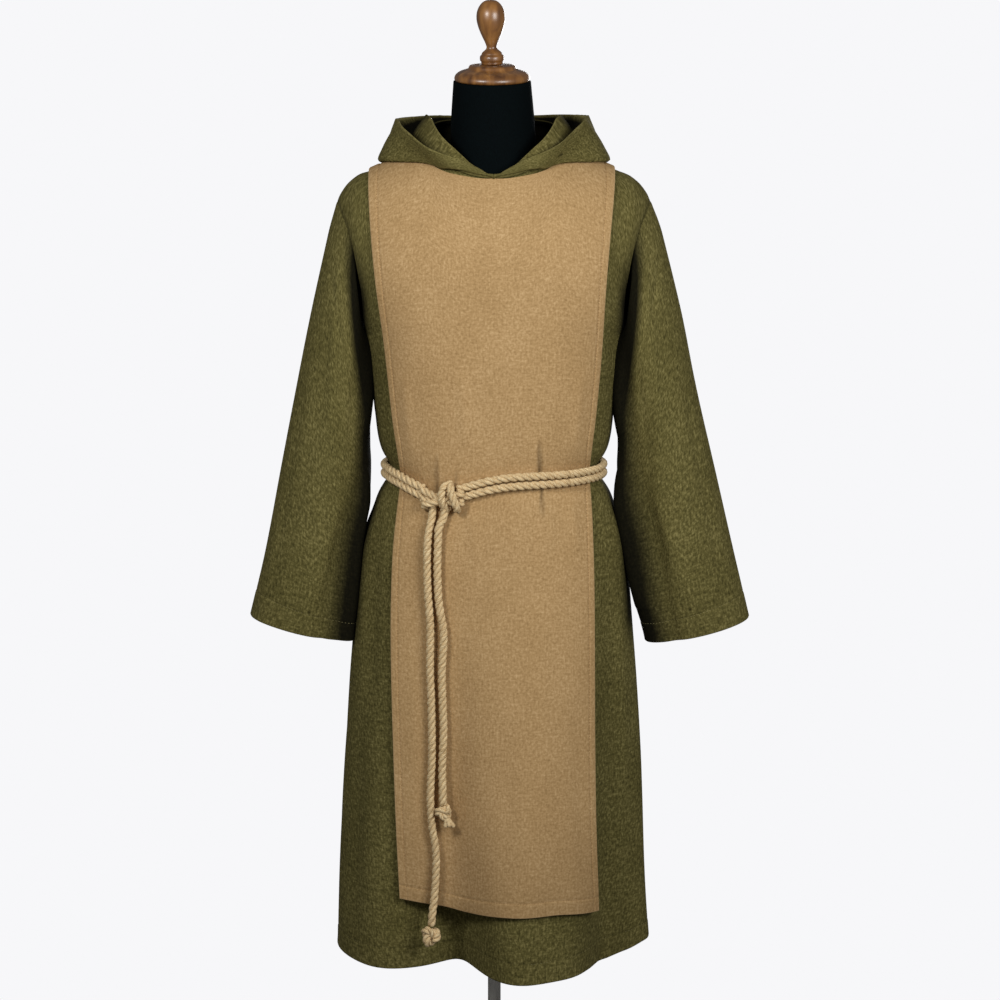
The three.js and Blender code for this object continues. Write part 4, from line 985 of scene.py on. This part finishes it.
# %% Write down the sleeves' sizes
CUFF = {-1: ((-219, 0, 704), (-372, 0, 741)), 1: ((231, 0, 700), (389, 0, 738))}
UNDERARM = table(
    "height across",
    (700, 225), (727, 219), (810, 209.5), (849, 204.5), (890, 195), (917, 188.5), (975, 185.5),
    (1000, 186.5), (1071, 186), (1100, 188), (1130, 190.6), (1150, 192.6), (1172, 196),
)
OUTER_LINE = {  # how far the outer line swells between the shoulder and the cuff
    -1: table("t out", (0, 0), (0.08, 3.4), (0.22, 4), (0.45, 2.4), (0.62, 0), (0.85, -2.2), (1, 0)),
    1: table("t out", (0, 0), (0.08, 5.5), (0.25, 6), (0.42, 3.2), (0.6, 1.2), (0.85, -0.6), (1, 0)),
}
SLEEVE_FOLDS = {  # turn, spread, depth, from, to
    -1: [(38, 11, -7, 0.3, 1.3), (112, 16, -4, 0.15, 1.1), (300, 15, -8, 0.2, 1.3)],
    1: [(52, 13, -11, 0.1, 1.2), (24, 10, 4, 0.1, 1.1), (308, 15, -9, 0.2, 1.3)],
}
SLEEVE_CREASES = {  # turn and t of both ends, spread in degrees, height
    -1: [
        (128, 0.05, 88, 0.5, 5, 2.2), (96, 0.3, 118, 0.95, 6, 2.0), (70, 0.1, 60, 0.5, 5, -2.0),
        (146, 0.4, 132, 0.98, 5, -1.8), (60, 0.55, 84, 1.0, 5, 2.2), (104, 0.62, 60, 0.8, 4, 1.5),
        (140, 0.12, 100, 0.22, 5, -1.4), (236, 0.1, 250, 0.9, 7, 2.4), (270, 0.2, 262, 0.8, 6, -2.0),
        (23, -0.3, 23, 0.34, 9, 14), (23, 0.44, 23, 1.25, 9, 17), (56, 0.5, 60, 1.3, 7, -5),
    ],
    1: [
        (118, 0.05, 84, 0.5, 5, 2.4), (92, 0.25, 112, 0.95, 6, 2.2), (74, 0.12, 70, 0.62, 5, -2.2),
        (140, 0.35, 128, 0.98, 5, -2.0), (66, 0.55, 96, 1.0, 5, 2.0), (120, 0.6, 70, 0.78, 4, 1.6),
        (146, 0.1, 104, 0.2, 5, -1.6), (232, 0.1, 248, 0.9, 7, 2.4), (276, 0.2, 264, 0.8, 6, -2.0),
        (23, -0.3, 23, 0.34, 9, 19), (23, 0.44, 23, 0.9, 9, 16), (58, 0.5, 60, 1.3, 7, -4),
    ],
}
CUFF_HEM = 39.0  # from the cuff's edge to its line of stitching
CUFF_HALF, SLEEVE_LENGTH = 62.0, 640.0
print("cuffs", [round(math.dist(*ends)) for ends in CUFF.values()], "mm wide")

# %% Work out a sleeve's surface
def armhole_point(side, turn):
    """The tunic's side edge as a ring: up its front for turns to 180, and down its back."""
    turn = turn % 360
    v = np.where(turn <= 180, turn, 360 - turn) / 180
    q = np.full(turn.shape, float(side))
    return np.where((turn <= 180)[..., None], upper_point("front", q, v), upper_point("back", q, v))


def sleeve_point(side, turn, t):
    """Armhole ring mixed into the cuff's oval by t, then the inner and outer lines, then folds."""
    turn, t = np.broadcast_arrays(np.asarray(turn, float), np.asarray(t, float))
    inner, outer = (np.array(p, float) for p in CUFF[side])
    middle, half = (inner + outer) / 2, (outer - inner) / 2
    end = middle - half * cosd(turn)[..., None]
    end[..., 1] = -CUFF_HALF * sind(turn)
    place = mix(armhole_point(side, turn), end, t[..., None])
    place[..., 1] *= 1 + 0.15 * np.sin(np.pi * t)
    armpit, tip = armhole_point(side, np.array([0.0, 180.0]))
    under = mix(armpit, inner, t[..., None])
    hang = UNDERARM["across"](under[..., 2]) - abs(under[..., 0])
    swell = OUTER_LINE[side]["out"](t) * sind(turn / 2) ** 4
    place[..., 0] += side * (hang * np.minimum(1, (1 - t) / 0.12) * cosd(turn / 2) ** 4 + swell)
    away = place - mix((armpit + tip) / 2, middle, t[..., None])
    away[..., 2] = 0
    away = unit(away)
    for at, spread, depth, first, last in SLEEVE_FOLDS[side]:
        grown = np.maximum(0, np.sin(np.pi * np.clip((t - first) / (last - first), 0, 1)))
        place = place + away * (depth * grown * bump(turn - at, spread))[..., None]
    return place


def sleeve_surface(side, turn, t):
    """Outside of a sleeve without its hem, its outward normal, and the height of its creases."""
    base = sleeve_point(side, turn, t)
    normal = -grid_normal(base, closed=True) * side
    out = 0.9 * uneven(base[..., 0] * 1.3 + base[..., 1], base[..., 2], 46)
    for u0, t0, u1, t1, spread, height in SLEEVE_CREASES[side]:
        share = (t - t0) / (t1 - t0)
        fade = np.sin(np.pi * np.clip(share, 0, 1)) ** 0.7
        out = out + height * fade * bump(turn - mix(u0, u1, share), spread)
    return base, normal, out * np.clip(t / 0.04, 0, 1)


print("left underarm halfway down:", sleeve_point(-1, np.zeros(1), np.full(1, 0.5))[0].round())

# %% Hem, seam and shade of a sleeve
def from_underarm(turn):
    """Degrees from the underarm either way, 180 on top."""
    return abs((turn + 180) % 360 - 180)


def lower_half(turn):
    """1 in the armhole's lower part, and down to 0 beside the shoulder."""
    return np.clip(4 - from_underarm(turn) * 4 / 130, 0, 1)


def sleeve_detail(turn, t):
    """The cuff's hem, groove and rim, and the armhole's groove, which is deeper in its lower part."""
    from_cuff, from_seam = (1 - t) * SLEEVE_LENGTH, t * SLEEVE_LENGTH
    rim = np.minimum(from_cuff / 1.6, 1)
    hem = 0.4 * within(from_cuff - CUFF_HEM) * rim - 0.9 * near(from_cuff - CUFF_HEM - 0.4, 1.2)
    low = lower_half(turn)
    return hem - 0.6 * (1 - rim) - (1.3 + 2.6 * low) * near(from_seam, 2.5 + 4.5 * low)


def sleeve_painted_shade(turn, t):
    """Painted shade towards the body, most widely near the armhole, and in the seam; a painted highlight at
    the cuff's edge.
    """
    from_cuff, from_seam = (1 - t) * SLEEVE_LENGTH, t * SLEEVE_LENGTH
    dark_turn = 43 + 76 * near(from_seam, 112) + 5 * t
    inwards = 0.96 * np.clip((dark_turn + 14 - from_underarm(turn)) / 28, 0, 1)
    at_seam = np.maximum(0.95 * lower_half(turn) * near(from_seam, 15), 0.4 * near(from_seam, 2.5))
    return np.maximum(inwards, at_seam) - 0.3 * near(from_cuff, 1.3)


print("shade halfway down, under the arm and on top:", sleeve_painted_shade(np.array([0, 180]), 0.5).round(2))

# %% Sew the sleeves
STEPS_TURN, STEPS_T = ((140, 170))
cuff_rows = np.array([0.7, 1.6, 20, 36, 38.2, 39.4, 40.6, 43]) / SLEEVE_LENGTH
for name, side in (("left", -1), ("right", 1)):
    turn = np.arange(STEPS_TURN)[None, :] * (360 / STEPS_TURN)
    t = spaced(0, 1, STEPS_T, (0.002, 0.005), cuff_rows)[:, None]
    base, normal, out = sleeve_surface(side, turn, t)
    outside = base + normal * (out + sleeve_detail(turn, t))[..., None]
    # Painted shading outside, and 0.75 of painted shade all over the inside.
    painted_shading = sleeve_painted_shade(turn, t)
    painted_shading = np.concatenate([painted_shading.ravel(), np.full(painted_shading.size, 0.75)])
    grid = wall(outside, outside - normal * CLOTH, closed=True)
    piece = mesh_object(f"sleeve_{name}_cloth", *grid, painted_shading=painted_shading)
    finished(piece, olive, "olive_wool", f"sleeve_{name}")

# %% [markdown]
# # The hood, laid down
# The hood is two halves with a seam down the centre back. Each half is a set of sections round
# the neck. A section starts inside the tunic's neckline, goes over it, lies on the shoulder or
# hangs down the back as a bag, rises to a rim, and at the sides folds in and up again to the
# face edge beside the neck. Whatever would sink into the shoulders is pushed straight out of
# them, which is how cloth comes to rest.

# %% Write down the hood's sections
HOOD = table(  # out from the neckline and up from it: the rim, the fold inwards and the face edge
    "turn rim_out rim_up fold_out fold_up edge_out edge_up belly tuck rise",
    (0, 2, -2, -1, -5, -5, -4, 1, 9, 0.3), (11, 2.5, 7, -0.5, 3, -5, 7, 1.5, 8, 1.5),
    (30, 4, 15, 0, 10, -4, 16, 2, 7, 3), (45, 22, 18, 13, 11, 5, 29, 2, 6, 3),
    (60, 37, 20, 24, 5, 9, 35, 2, 4.5, 3), (75, 52, 28, 37, 1, 12, 40, 2, 3, 3),
    (84, 61, 31.5, 46, 0, 15, 43, 2, 2, 3), (92, 67.5, 34, 53, 0, 23, 42, 3, 1.5, 3),
    (100, 73, 36, 57, 0, 30, 25, 7, 1.5, 3), (112, 80, 37.5, 62, 4, 36, 9, 12, 1.5, 3),
    (130, 86.5, 40.5, 74, 20, 56, 20, 21, 1.5, 3), (150, 91, 43, 84, 31, 77, 35, 26, 1.5, 3),
    (180, 94, 42, 90, 33, 85, 40, 28, 1.5, 3),
)
RIM_SHIFT = {-1: (2, 0), 1: (8, 5)}  # how far in and up one half's rim is beside the other's
HOOD_LAY = table(
    "turn out up", (0, 2.5, 1), (30, 9, 5), (45, 14, 0), (60, 16, -9), (75, 36, -15), (90, 93, -24)
)
HOOD_BAG = table(
    "turn across height",
    (90, 165, 1418.5), (105, 150, 1405), (120, 125, 1375), (135, 98, 1330), (150, 66, 1278),
    (165, 33, 1240), (180, 0, 1222),
)
HOOD_LIFT = {"front": 7.8, "back": 9.5}
HOOD_NEAR, HOOD_REACH = 3.2, 7.0  # room beside the neckline, and how far on it grows to the lift
HOOD_FOOT = 3.4  # how far inside the neckline a section starts
HOOD_LOWER, HOOD_UPPER = ((64, 34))  # points up to the rim, and past it
print("the rim stands", float(HOOD["rim_up"](180)), "mm over the neckline behind")

# %% Work out a section of the hood
def outside_body(p):
    """0 on the tunic's shoulders and back, more outside them."""
    x, y, z = p[..., 0], p[..., 1], p[..., 2]
    deep = np.where(y < SEAM_Y, BODY["front"](z), BODY["back"](z)) * np.sqrt(1 - (x / BODY["side"](z)) ** 2)
    return ((y - SEAM_Y) / deep) ** 2 + arch_rise(x, z) ** ARCH_POWER - 1


def rest_on_body(p, clear):
    """Moves points straight out until they are clear of the body: Newton's steps on its formula."""
    for _ in range(4):
        slope = np.stack([outside_body(p + d) - outside_body(p - d) for d in np.eye(3) * 0.5], axis=-1)
        size = np.linalg.norm(slope, axis=-1)
        short = np.maximum(0, clear - outside_body(p) / size)
        p = p + slope / size[..., None] * short[..., None]
    return p


def hood_section(side, turn):
    """Points from the foot inside the neckline, over it and down, up to the rim, and to the edge."""
    face = "front" if turn <= 90 else "back"
    column = Q_NECK * min(turn, 180 - turn) / 90
    x, z = (float(v) for v in column_top(face, np.array(column)))
    seam = np.array([side * x, float(upper_y(face, x, z)), z])
    out = np.array([side * sind(turn), -cosd(turn), 0.0])
    row = {name: float(value(turn)) for name, value in HOOD.items()}

    def away(distance, up):  # from the neckline
        return seam + out * distance + np.array([0, 0, up])

    foot, neck = away(-HOOD_FOOT, -row["tuck"]), away(-HOOD_FOOT, row["rise"])
    lift = HOOD_LIFT[face]
    if turn <= 90:
        below = away(float(HOOD_LAY["out"](turn)), float(HOOD_LAY["up"](turn)))
    else:
        across, height = float(HOOD_BAG["across"](turn)), float(HOOD_BAG["height"](turn))
        below = np.array([side * across, float(upper_y("back", across, height)) + lift, height])
    beside = rest_on_body(away(3, 0), HOOD_NEAR)
    f = np.array([0.35, 0.67, 1])[:, None]
    over = mix(neck, below, f)
    if turn > 90:
        over[:, 2] = mix(neck[2], below[2], f[:, 0] ** 1.6)
    over = rest_on_body(over, lift)
    inwards, up = np.array(RIM_SHIFT[side]) * sind(turn) ** 2
    rim = away(row["rim_out"] - inwards, row["rim_up"] + up)
    rising = [mix(over[2], rim, g) + out * row["belly"] * share for g, share in ((0.3, 1), (0.68, 0.75))]
    lower = smooth_route([beside, *over, *rising, rim], count=HOOD_LOWER)
    reach = np.minimum(1, np.linalg.norm(lower - beside, axis=1) / HOOD_REACH)
    lower = rest_on_body(lower, mix(HOOD_NEAR, lift, reach))
    fold, edge = away(row["fold_out"], row["fold_up"]), away(row["edge_out"], row["edge_up"])
    folding = [lower[-4], rim, mix(rim, fold, 0.5), fold, mix(fold, edge, 0.5), edge]
    upper = smooth_route(folding, count=HOOD_UPPER + 6)
    upper = upper[np.linalg.norm(upper - rim, axis=1).argmin() + 1 :]
    upper = smooth_route(upper, count=HOOD_UPPER)
    return np.vstack([foot, mix(foot, neck, 0.5), neck, mix(neck, beside, 0.5), lower, upper])


print("a section has", len(hood_section(1, 0.0)), "points")

# %% Shade of the hood
def hood_painted_shade(turn):
    """The outer and inner sides' painted shading: the pocket, its crease and what is covered get a painted
    shade.

    The rim and the face edge get a painted highlight.
    """
    row = np.arange(-4 - HOOD_LOWER, HOOD_UPPER)[:, None]
    past_rim = np.clip(row / HOOD_UPPER, 0, 1)
    beside = np.clip((turn - 84) / 10, 0, 1) * np.clip((176 - turn) / 20, 0.6, 1)
    pocket = np.clip((past_rim - 0.05) / 0.15, 0, 1) * beside
    crease = 0.6 * near(past_rim - 0.5, 0.16) * np.clip((turn - 40) / 30, 0, 1) * (row > 0)
    outer = np.maximum(pocket, crease) * 0.97
    outer = outer - (0.55 + outer) * np.maximum(near(row, 1.1), near(past_rim - 1, 0.035))
    return outer, np.broadcast_to(np.clip((turn - 50) / 30, 0, 1) * 0.95, outer.shape)


shades = hood_painted_shade(np.arange(181))[0]
print("outer shades from", shades.min().round(2), "to", shades.max().round(2))

# %% Lay the hood round the neck
for name, side in (("left", -1), ("right", 1)):
    turns = spaced(0, 180, 91, (0.5, 1.2), (0.5, 1.2))
    middle = np.stack([hood_section(side, turn) for turn in turns], axis=1)
    normal = grid_normal(middle)
    normal[:, [0, -1], 0] = 0
    normal = unit(normal) * side
    ripple = 0.7 * uneven(middle[..., 0] * 1.4 + 80, middle[..., 1] + middle[..., 2], 30)
    ripple = ripple * np.clip((turns - 20) / 30, 0, 1) - 0.8 * near(180 - turns, 2.0)
    walls = [middle + normal * (ripple + way * CLOTH / 2)[..., None] for way in (1, -1)]
    for layer in walls:
        layer[:, [0, -1], 0] = side * 0.15
    # Painted shading of the hood's outer and inner sides.
    painted_shading = np.concatenate([shade.ravel() for shade in hood_painted_shade(turns[None, :])])
    piece = mesh_object(f"hood_{name}_cloth", *wall(*walls), painted_shading=painted_shading)
    finished(piece, olive, "olive_wool", f"hood_{name}")

# %% [markdown]
# # The belt and its knot
# The rope goes twice round the waist, on the scapular where that is under it and on the tunic
# at the sides, and dips to the knot. The knot is a wrap over the two turns with a short bight
# beside it; each pass is a rope of its own, on a route in the knot's own frame: along the
# belt, up, and out.

# %% Tie the belt
KNOT_TURN = -28.75
KNOT_CENTRE = np.array([-81.6, -112.9, 942.0])
KNOT_OUT = np.array([-0.3667, -0.9303, 0.0])
KNOT_TIGHT = 5.9  # the rope's radius where the knot squeezes it
KNOT_GAP = 9.8  # degrees between the knot's middle and where a turn of the belt starts
TURN_RISE = 6.45  # of the upper turn over the belt's line


def belt_point(turn, height):
    """The tunic's ring at the belt + outward x (rope's radius, and the scapular where that is under it)."""
    wrapped = (turn + 180) % 360 - 180
    ring = ring_point(wrapped, np.full(turn.shape, BELT))
    deep = np.where(cosd(wrapped) > 0, BODY["front"](BELT), BODY["back"](BELT))
    away = unit(np.stack([deep * sind(wrapped), -BODY["side"](BELT) * cosd(wrapped), 0 * wrapped], axis=-1))
    edges = [edge_across(face, ring[..., 0], BELT) for face in ("front", "back")]
    over = np.clip((np.where(cosd(wrapped) > 0, *edges) + 16 - abs(ring[..., 0])) / 12, 0, 1)
    out = ROPE_RADIUS + 1.2 + over * over * (3 - 2 * over) * (CLOTH + 0.7)
    return ring + away * out[..., None] + np.array([0, 0, height])


turn = KNOT_TURN + np.linspace(KNOT_GAP, 360 - KNOT_GAP, 70)
for name, height in (("upper", TURN_RISE), ("lower", -TURN_RISE)):
    sway = 0.5 * sind(turn * 3 + height * 20)
    route = smooth_route(belt_point(turn, height) + sway[:, None] * [0, 0, 1], ROPE_STEP)
    finished(mesh_object(f"belt_{name}_rope", *rope(route)), hemp, "rope", f"belt_{name}")

KNOT_PASSES = [
    [(15, -20, -4), (10, -9, 6), (9, 5, 9), (13, 17, 5), (20, 19, -5)],
    [(16, 19, -6), (22, 16, 6), (27, 2, 9), (31, -12, 6), (29, -20, -4)],
    [(10, -3, 1), (-4, -8, 7), (-15, -11, 8), (-22, -14, 2), (-15, -17, -4)],
    [(-29, 8, -5), (-14, 3, -1), (2, -1, 3), (14, -2, 1)],
    [(-29, -5, -6), (-16, -7, -2), (-2, -9, 0), (8, -8, 0)],
    [(38, 6, -5), (26, 4, 0), (12, 2, 0)],
    [(38, -7, -5), (26, -8, -1), (12, -7, 0)],
    [(-9.5, -18, 0), (-7, -10, 2), (2, -4, 2)],
    [(9.5, -18, 0), (9, -9, 4), (14, 0, 2)],
]
knot_axes = np.array([[-KNOT_OUT[1], KNOT_OUT[0], 0], [0, 0, 1], KNOT_OUT])
ways = [smooth_route(KNOT_CENTRE + np.array(way, float) @ knot_axes, ROPE_STEP) for way in KNOT_PASSES]
knot = joined([rope(way, KNOT_TIGHT) for way in ways])
finished(mesh_object("belt_knot_rope", *knot), hemp, "rope", "belt_knot")

# %% [markdown]
# # Stitching
# The hems' seams are rows of short stitches. Each stitch is a small pointed bead, and a row of
# them is one array operation along a line on the cloth.

# %% Make a row of stitches
BEAD = np.array([(-1.5, 0, 0), (0, 0.45, 0), (0, 0, 0.35), (0, -0.45, 0), (0, 0, -0.35), (1.5, 0, 0)])
BEAD_FACES = np.array(
    [(0, 2, 1), (0, 3, 2), (0, 4, 3), (0, 1, 4), (5, 1, 2), (5, 2, 3), (5, 3, 4), (5, 4, 1)]
)


def stitch_row(line, normal, pitch=4.2):
    """Bead k = centre at (k + half) pitches along the line, turned to its (ahead, aside, up)."""
    along = lengths_along(line)
    at = np.arange(pitch / 2, along[-1], pitch)
    centre = read_off(line, along, at)
    up = unit(read_off(normal, along, at))
    ahead = unit(np.gradient(centre, axis=0))
    axes = np.stack([ahead, np.cross(up, ahead), up], axis=1)
    faces = BEAD_FACES[None] + len(BEAD) * np.arange(len(at))[:, None, None]
    points = (centre[:, None] + BEAD @ axes).reshape(-1, 3)
    return points, faces.reshape(-1, 3), np.zeros((len(points), 2))


print("a stitch is", np.ptp(BEAD[:, 0]), "mm long")

# %% Stitch the hems
tan_thread = plain_material("tan_thread", colour(150, 116, 74), 0.7)
olive_thread = plain_material("olive_thread", colour(126, 117, 76), 0.7)
tan_rows, olive_rows = [], []


def panel_line(face, q, s):
    """Where stitches lie on the scapular, and its normals."""
    base, normal, out = scapular_surface(face, q, s)
    return base + normal * (out + CLOTH - 0.6)[..., None], normal


for face in ("front", "back"):
    s = np.linspace(0.016, 0.995, 300)[:, None]
    for edge in (-1, 1):
        q = edge * (Q_EDGE - (SIDE_HEM + np.array([-1, 0, 1])) / Q_LENGTH)[None, :]
        line, normal = panel_line(face, q, s)
        tan_rows.append(stitch_row(line[:, 1], normal[:, 1]))
    q = np.linspace(-Q_EDGE + 0.04, Q_EDGE - 0.04, 160)[None, :]
    line, normal = panel_line(face, q, (BOTTOM_HEM + 0.3 + np.array([-1, 0, 1]))[:, None] / LENGTH)
    tan_rows.append(stitch_row(line[1], normal[1]))
    base = tunic_surface(face, np.linspace(-1, 1, 300)[None, :], np.array([0.031, 0.0327, 0.034])[:, None])
    normal = outward(base)
    olive_rows.append(stitch_row((base - normal * 0.4)[1], normal[1], pitch=5))
for side in (-1, 1):
    turn = np.linspace(0, 360, 200)[None, :-1]
    t = 1 - (CUFF_HEM + np.array([1, 0, -1]))[:, None] / SLEEVE_LENGTH
    base, normal, out = sleeve_surface(side, turn, t)
    olive_rows.append(stitch_row((base + normal * (out - 0.4)[..., None])[1], normal[1], pitch=5))
finished(mesh_object("tan_stitches", *joined(tan_rows), smooth=False), tan_thread, "tan_wool")
finished(mesh_object("olive_stitches", *joined(olive_rows), smooth=False), olive_thread, "olive_wool")

# %% [markdown]
# # The form and its stand
# The form is a smooth body under black jersey. Only its neck shows, but all of it is made from
# the part's rows, each a ring whose front, side and back have their own reach and height. A
# lathe's modifier could turn the cap, finial, pole and base from a profile. One line of numpy
# does the same here, and it leaves nothing to apply.

# %% Write down the form's rows
FORM = table(
    "step side side_z front front_z back back_z",
    (0, 168, 800, 103, 800, 113, 800), (1, 165, 850, 101, 850, 111, 850),
    (2, 148, 930, 95, 930, 103, 930), (3, 138, 975, 93, 975, 99, 975),
    (4, 142, 1030, 97, 1030, 103, 1030), (5, 152, 1110, 105, 1110, 109, 1110),
    (6, 160, 1190, 110, 1190, 113, 1190), (7, 168, 1260, 112, 1260, 113, 1260),
    (8, 178, 1330, 107, 1310, 111, 1320), (9, 187, 1376, 100, 1341, 104, 1356),
    (10, 185, 1398, 92, 1366, 92, 1371), (11, 164, 1411, 88, 1376, 82, 1391),
    (12, 124, 1426, 84, 1386, 76, 1408), (13, 89, 1434, 76, 1406, 67, 1428),
    (14, 69, 1440, 71, 1421, 57, 1438), (15, 63, 1456, 68, 1445, 54, 1455),
    (16, 62, 1478, 63, 1465, 57, 1478), (17, 60, 1505, 60, 1505, 58, 1505),
    (18, 57, 1541, 57, 1533.9, 57, 1548.1),
)
NECK_X, FORM_TOP, NECK_TILT, FINIAL_LEAN = -2.5, 1541.0, math.radians(7.2), math.radians(1.6)


def form_rings(count=120):
    """Ring = (side sin a, -deep cos a, height), whose height tilts from back to front at the top."""
    k = np.linspace(0, 18, count)[:, None]
    turn = np.linspace(0, 360, count, endpoint=False)[None, :]
    lean, front = np.clip((k - 13) / 5, 0, 1), cosd(turn) > 0
    deep = np.where(front, FORM["front"](k), FORM["back"](k))
    far_z = np.where(front, FORM["front_z"](k), FORM["back_z"](k))
    z = mix(far_z, FORM["side_z"](k), mix(sind(turn) ** 2, 1 - abs(cosd(turn)), lean))
    return np.stack([FORM["side"](k) * sind(turn) + NECK_X * lean, -deep * cosd(turn), z], axis=-1)


print("the neck leans", round(math.degrees(NECK_TILT), 1), "degrees")

# %% Turn profiles on an axis
def capped(rings):
    """Points, faces and flat layout of rings closed at both ends, lowest ring first."""
    points, faces = ring_solid(rings, rings[0].mean(axis=0), rings[-1].mean(axis=0))
    around = np.arctan2(points[:, 0], -points[:, 1]) * 0.1  # as on a tube of 0.1 m radius
    return points, faces, np.stack([around, points[:, 2] * MM], axis=1)


def turned(profile, sides=96):
    """Ring = radius x (cos a, sin a) at each height of a (radius, height) profile."""
    profile = np.array(profile, float)
    angle = np.linspace(0, 2 * np.pi, sides, endpoint=False)
    ring = np.stack([np.cos(angle), np.sin(angle), np.zeros(sides)], axis=-1)
    return profile[:, None, :1] * ring + profile[:, None, 1:] * np.array([0, 0, 1.0])


def rounded(profile, count=60):
    """The profile with its corners softened, kept off the axis."""
    line = smooth_route([(r, z, 0) for r, z in profile], count=count)
    return np.maximum(line[:, :2], [0.05, -1e9])


def leaning(rings):
    """Stands turned rings on the neck's tilted top."""
    c, s = math.cos(NECK_TILT), math.sin(NECK_TILT)
    return rings @ np.array([[1, 0, 0], [0, c, s], [0, -s, c]]) + [NECK_X, 0, FORM_TOP + 0.3]


print("a turned disc has", len(capped(turned([(1, 0), (1, 1)]))[1]), "faces")

# %% Make the stand's materials
def jersey_material():
    """Fine ribs that run down: noise that is much finer across than up."""
    material, tree, shader = new_material("jersey", {"Roughness": 0.9, "Specular IOR Level": 0.08})
    ribs = noise(tree, place_in_object(tree), (1400, 1400, 260), Detail=1.0)
    base = ramp(tree, ribs, (0.3, colour(0, 3, 4)), (0.7, colour(2, 9, 11)))
    surface(tree, shader, base, ribs, 0.3, 0.0004)
    return material


def wood_material():
    """Grain drawn out along the turning, under a clear coat of varnish."""
    varnish = {"Roughness": 0.38, "Specular IOR Level": 0.8, "Coat Weight": 0.4, "Coat Roughness": 0.25}
    material, tree, shader = new_material("varnished_wood", varnish)
    grain = noise(tree, place_in_object(tree), (60, 60, 14), Scale=1.2, Detail=4.0, Distortion=0.4)
    stops = (0.3, colour(84, 50, 20)), (0.52, colour(128, 84, 38)), (0.74, colour(166, 116, 58))
    surface(tree, shader, ramp(tree, grain, *stops))
    return material


jersey, wood = jersey_material(), wood_material()
# The pole's near-white colour is partly the steel's own light grey and partly a painted reflection of the
# bright surroundings that polished steel would show.
steel = plain_material("steel", colour(236, 232, 222), 0.5, 0.1)
paint = plain_material("black_paint", colour(34, 34, 35), 0.45)
print("stand's materials:", *(material.name for material in (jersey, wood, steel, paint)))

# %% Build the form and its stand
CAP_HEIGHT = 24
CAP = [
    (0.05, 0), (50, 0), (54.5, 1), (55.6, 4.5), (54, 9), (49, 13.2), (41, 16.2), (35.5, 18), (34.4, 20.5),
    (33, 22.6), (24, CAP_HEIGHT), (0.05, CAP_HEIGHT),
]
FINIAL = [
    (0.05, 0), (15, 0), (16, 1), (16.2, 4.4), (17.4, 5.4), (17.6, 11.4), (16.8, 12.8), (15.2, 14.2),
    (14.6, 16.4), (12.4, 18.6), (9, 21.4), (7.6, 23.8), (7.8, 26.4), (10.2, 33), (13.8, 41), (17.4, 50),
    (20, 59), (21, 67), (19.8, 76.6), (15.6, 85), (9.2, 90.8), (0.05, 93),
]
BASE = [
    (0.05, 0), (193, 0), (195, 0.6), (195, 5.6), (194, 7.2), (191, 8), (30, 9.4), (24, 10.2), (20.5, 12),
    (19, 15), (18, 36.6), (17, 38), (10.4, 38), (10.4, 8), (0.05, 8),
]
POLE = [(10, 8.3), (10, 799.7)]
lift = CAP_HEIGHT + 0.3 + 12 * math.sin(FINIAL_LEAN)  # so that the leaning finial clears the cap
egg = turned(rounded(FINIAL, 90)) @ about_y(-FINIAL_LEAN) + [0, 0, lift]
finished(mesh_object("form", *capped(form_rings())), jersey, "black_jersey", "form_torso")
finished(mesh_object("cap", *capped(leaning(turned(rounded(CAP))))), wood, "varnished_wood", "neck_cap")
finished(mesh_object("egg_finial", *capped(leaning(egg))), wood, "varnished_wood", "finial")
finished(mesh_object("stand_pole", *capped(turned(POLE, 48))), steel, "steel", "pole")
finished(mesh_object("base_plate", *capped(turned(BASE, 128))), paint, "black_paint", "base")

# %% [markdown]
# # Light
# A bright world alone would light cloth from everywhere and hide its folds, so lamps do most of
# the work. A small one on the left draws the folds, a broader one on the right fills them, and
# one behind lights the edges and the back. The front two are high, which makes the top brighter
# than the hem. The background is plain white; it is brighter to the camera than it is as a
# light, so that it doesn't fill the shadows.

# %% Light the scene
def lamp(name, place, aim, size, watts):
    """A square lamp of a size in metres, turned from its place to what it aims at."""
    light = bpy.data.lights.new(name, "AREA")
    light.size, light.energy = size, watts
    holder = bpy.data.objects.new(name, light)
    holder.location = place
    direction = np.array(aim, float) - np.array(place, float)
    pitch = math.atan2(math.hypot(direction[0], direction[1]), -direction[2])
    holder.rotation_euler = (pitch, 0, math.atan2(direction[1], direction[0]) - math.pi / 2)
    bpy.context.scene.collection.objects.link(holder)


lamp("left", (-0.95, -1.6, 1.95), (0, 0, 1.15), 0.45, 19)
lamp("right", (1.1, -1.75, 1.7), (0, 0, 1.1), 0.9, 27)
lamp("behind", (0.5, 2.3, 1.35), (0, 0, 0.9), 1.2, 30)
WHITE, WORLD_LIGHT = colour(247, 247, 249), 0.14
world = bpy.data.worlds.new("studio")
bpy.context.scene.world = world
world.use_nodes = True
tree = world.node_tree
tree.nodes.clear()
seen = node(tree, "ShaderNodeBackground", {0: WHITE, 1: 1.0})
lit = node(tree, "ShaderNodeBackground", {0: WHITE, 1: WORLD_LIGHT})
rays = node(tree, "ShaderNodeLightPath").outputs["Is Camera Ray"]
either = node(tree, "ShaderNodeMixShader", {0: rays, 1: lit.outputs[0], 2: seen.outputs[0]})
node(tree, "ShaderNodeOutputWorld", {0: either.outputs[0]})
bpy.context.scene.view_settings.view_transform = "Standard"
print(len(bpy.data.lights), "lamps")
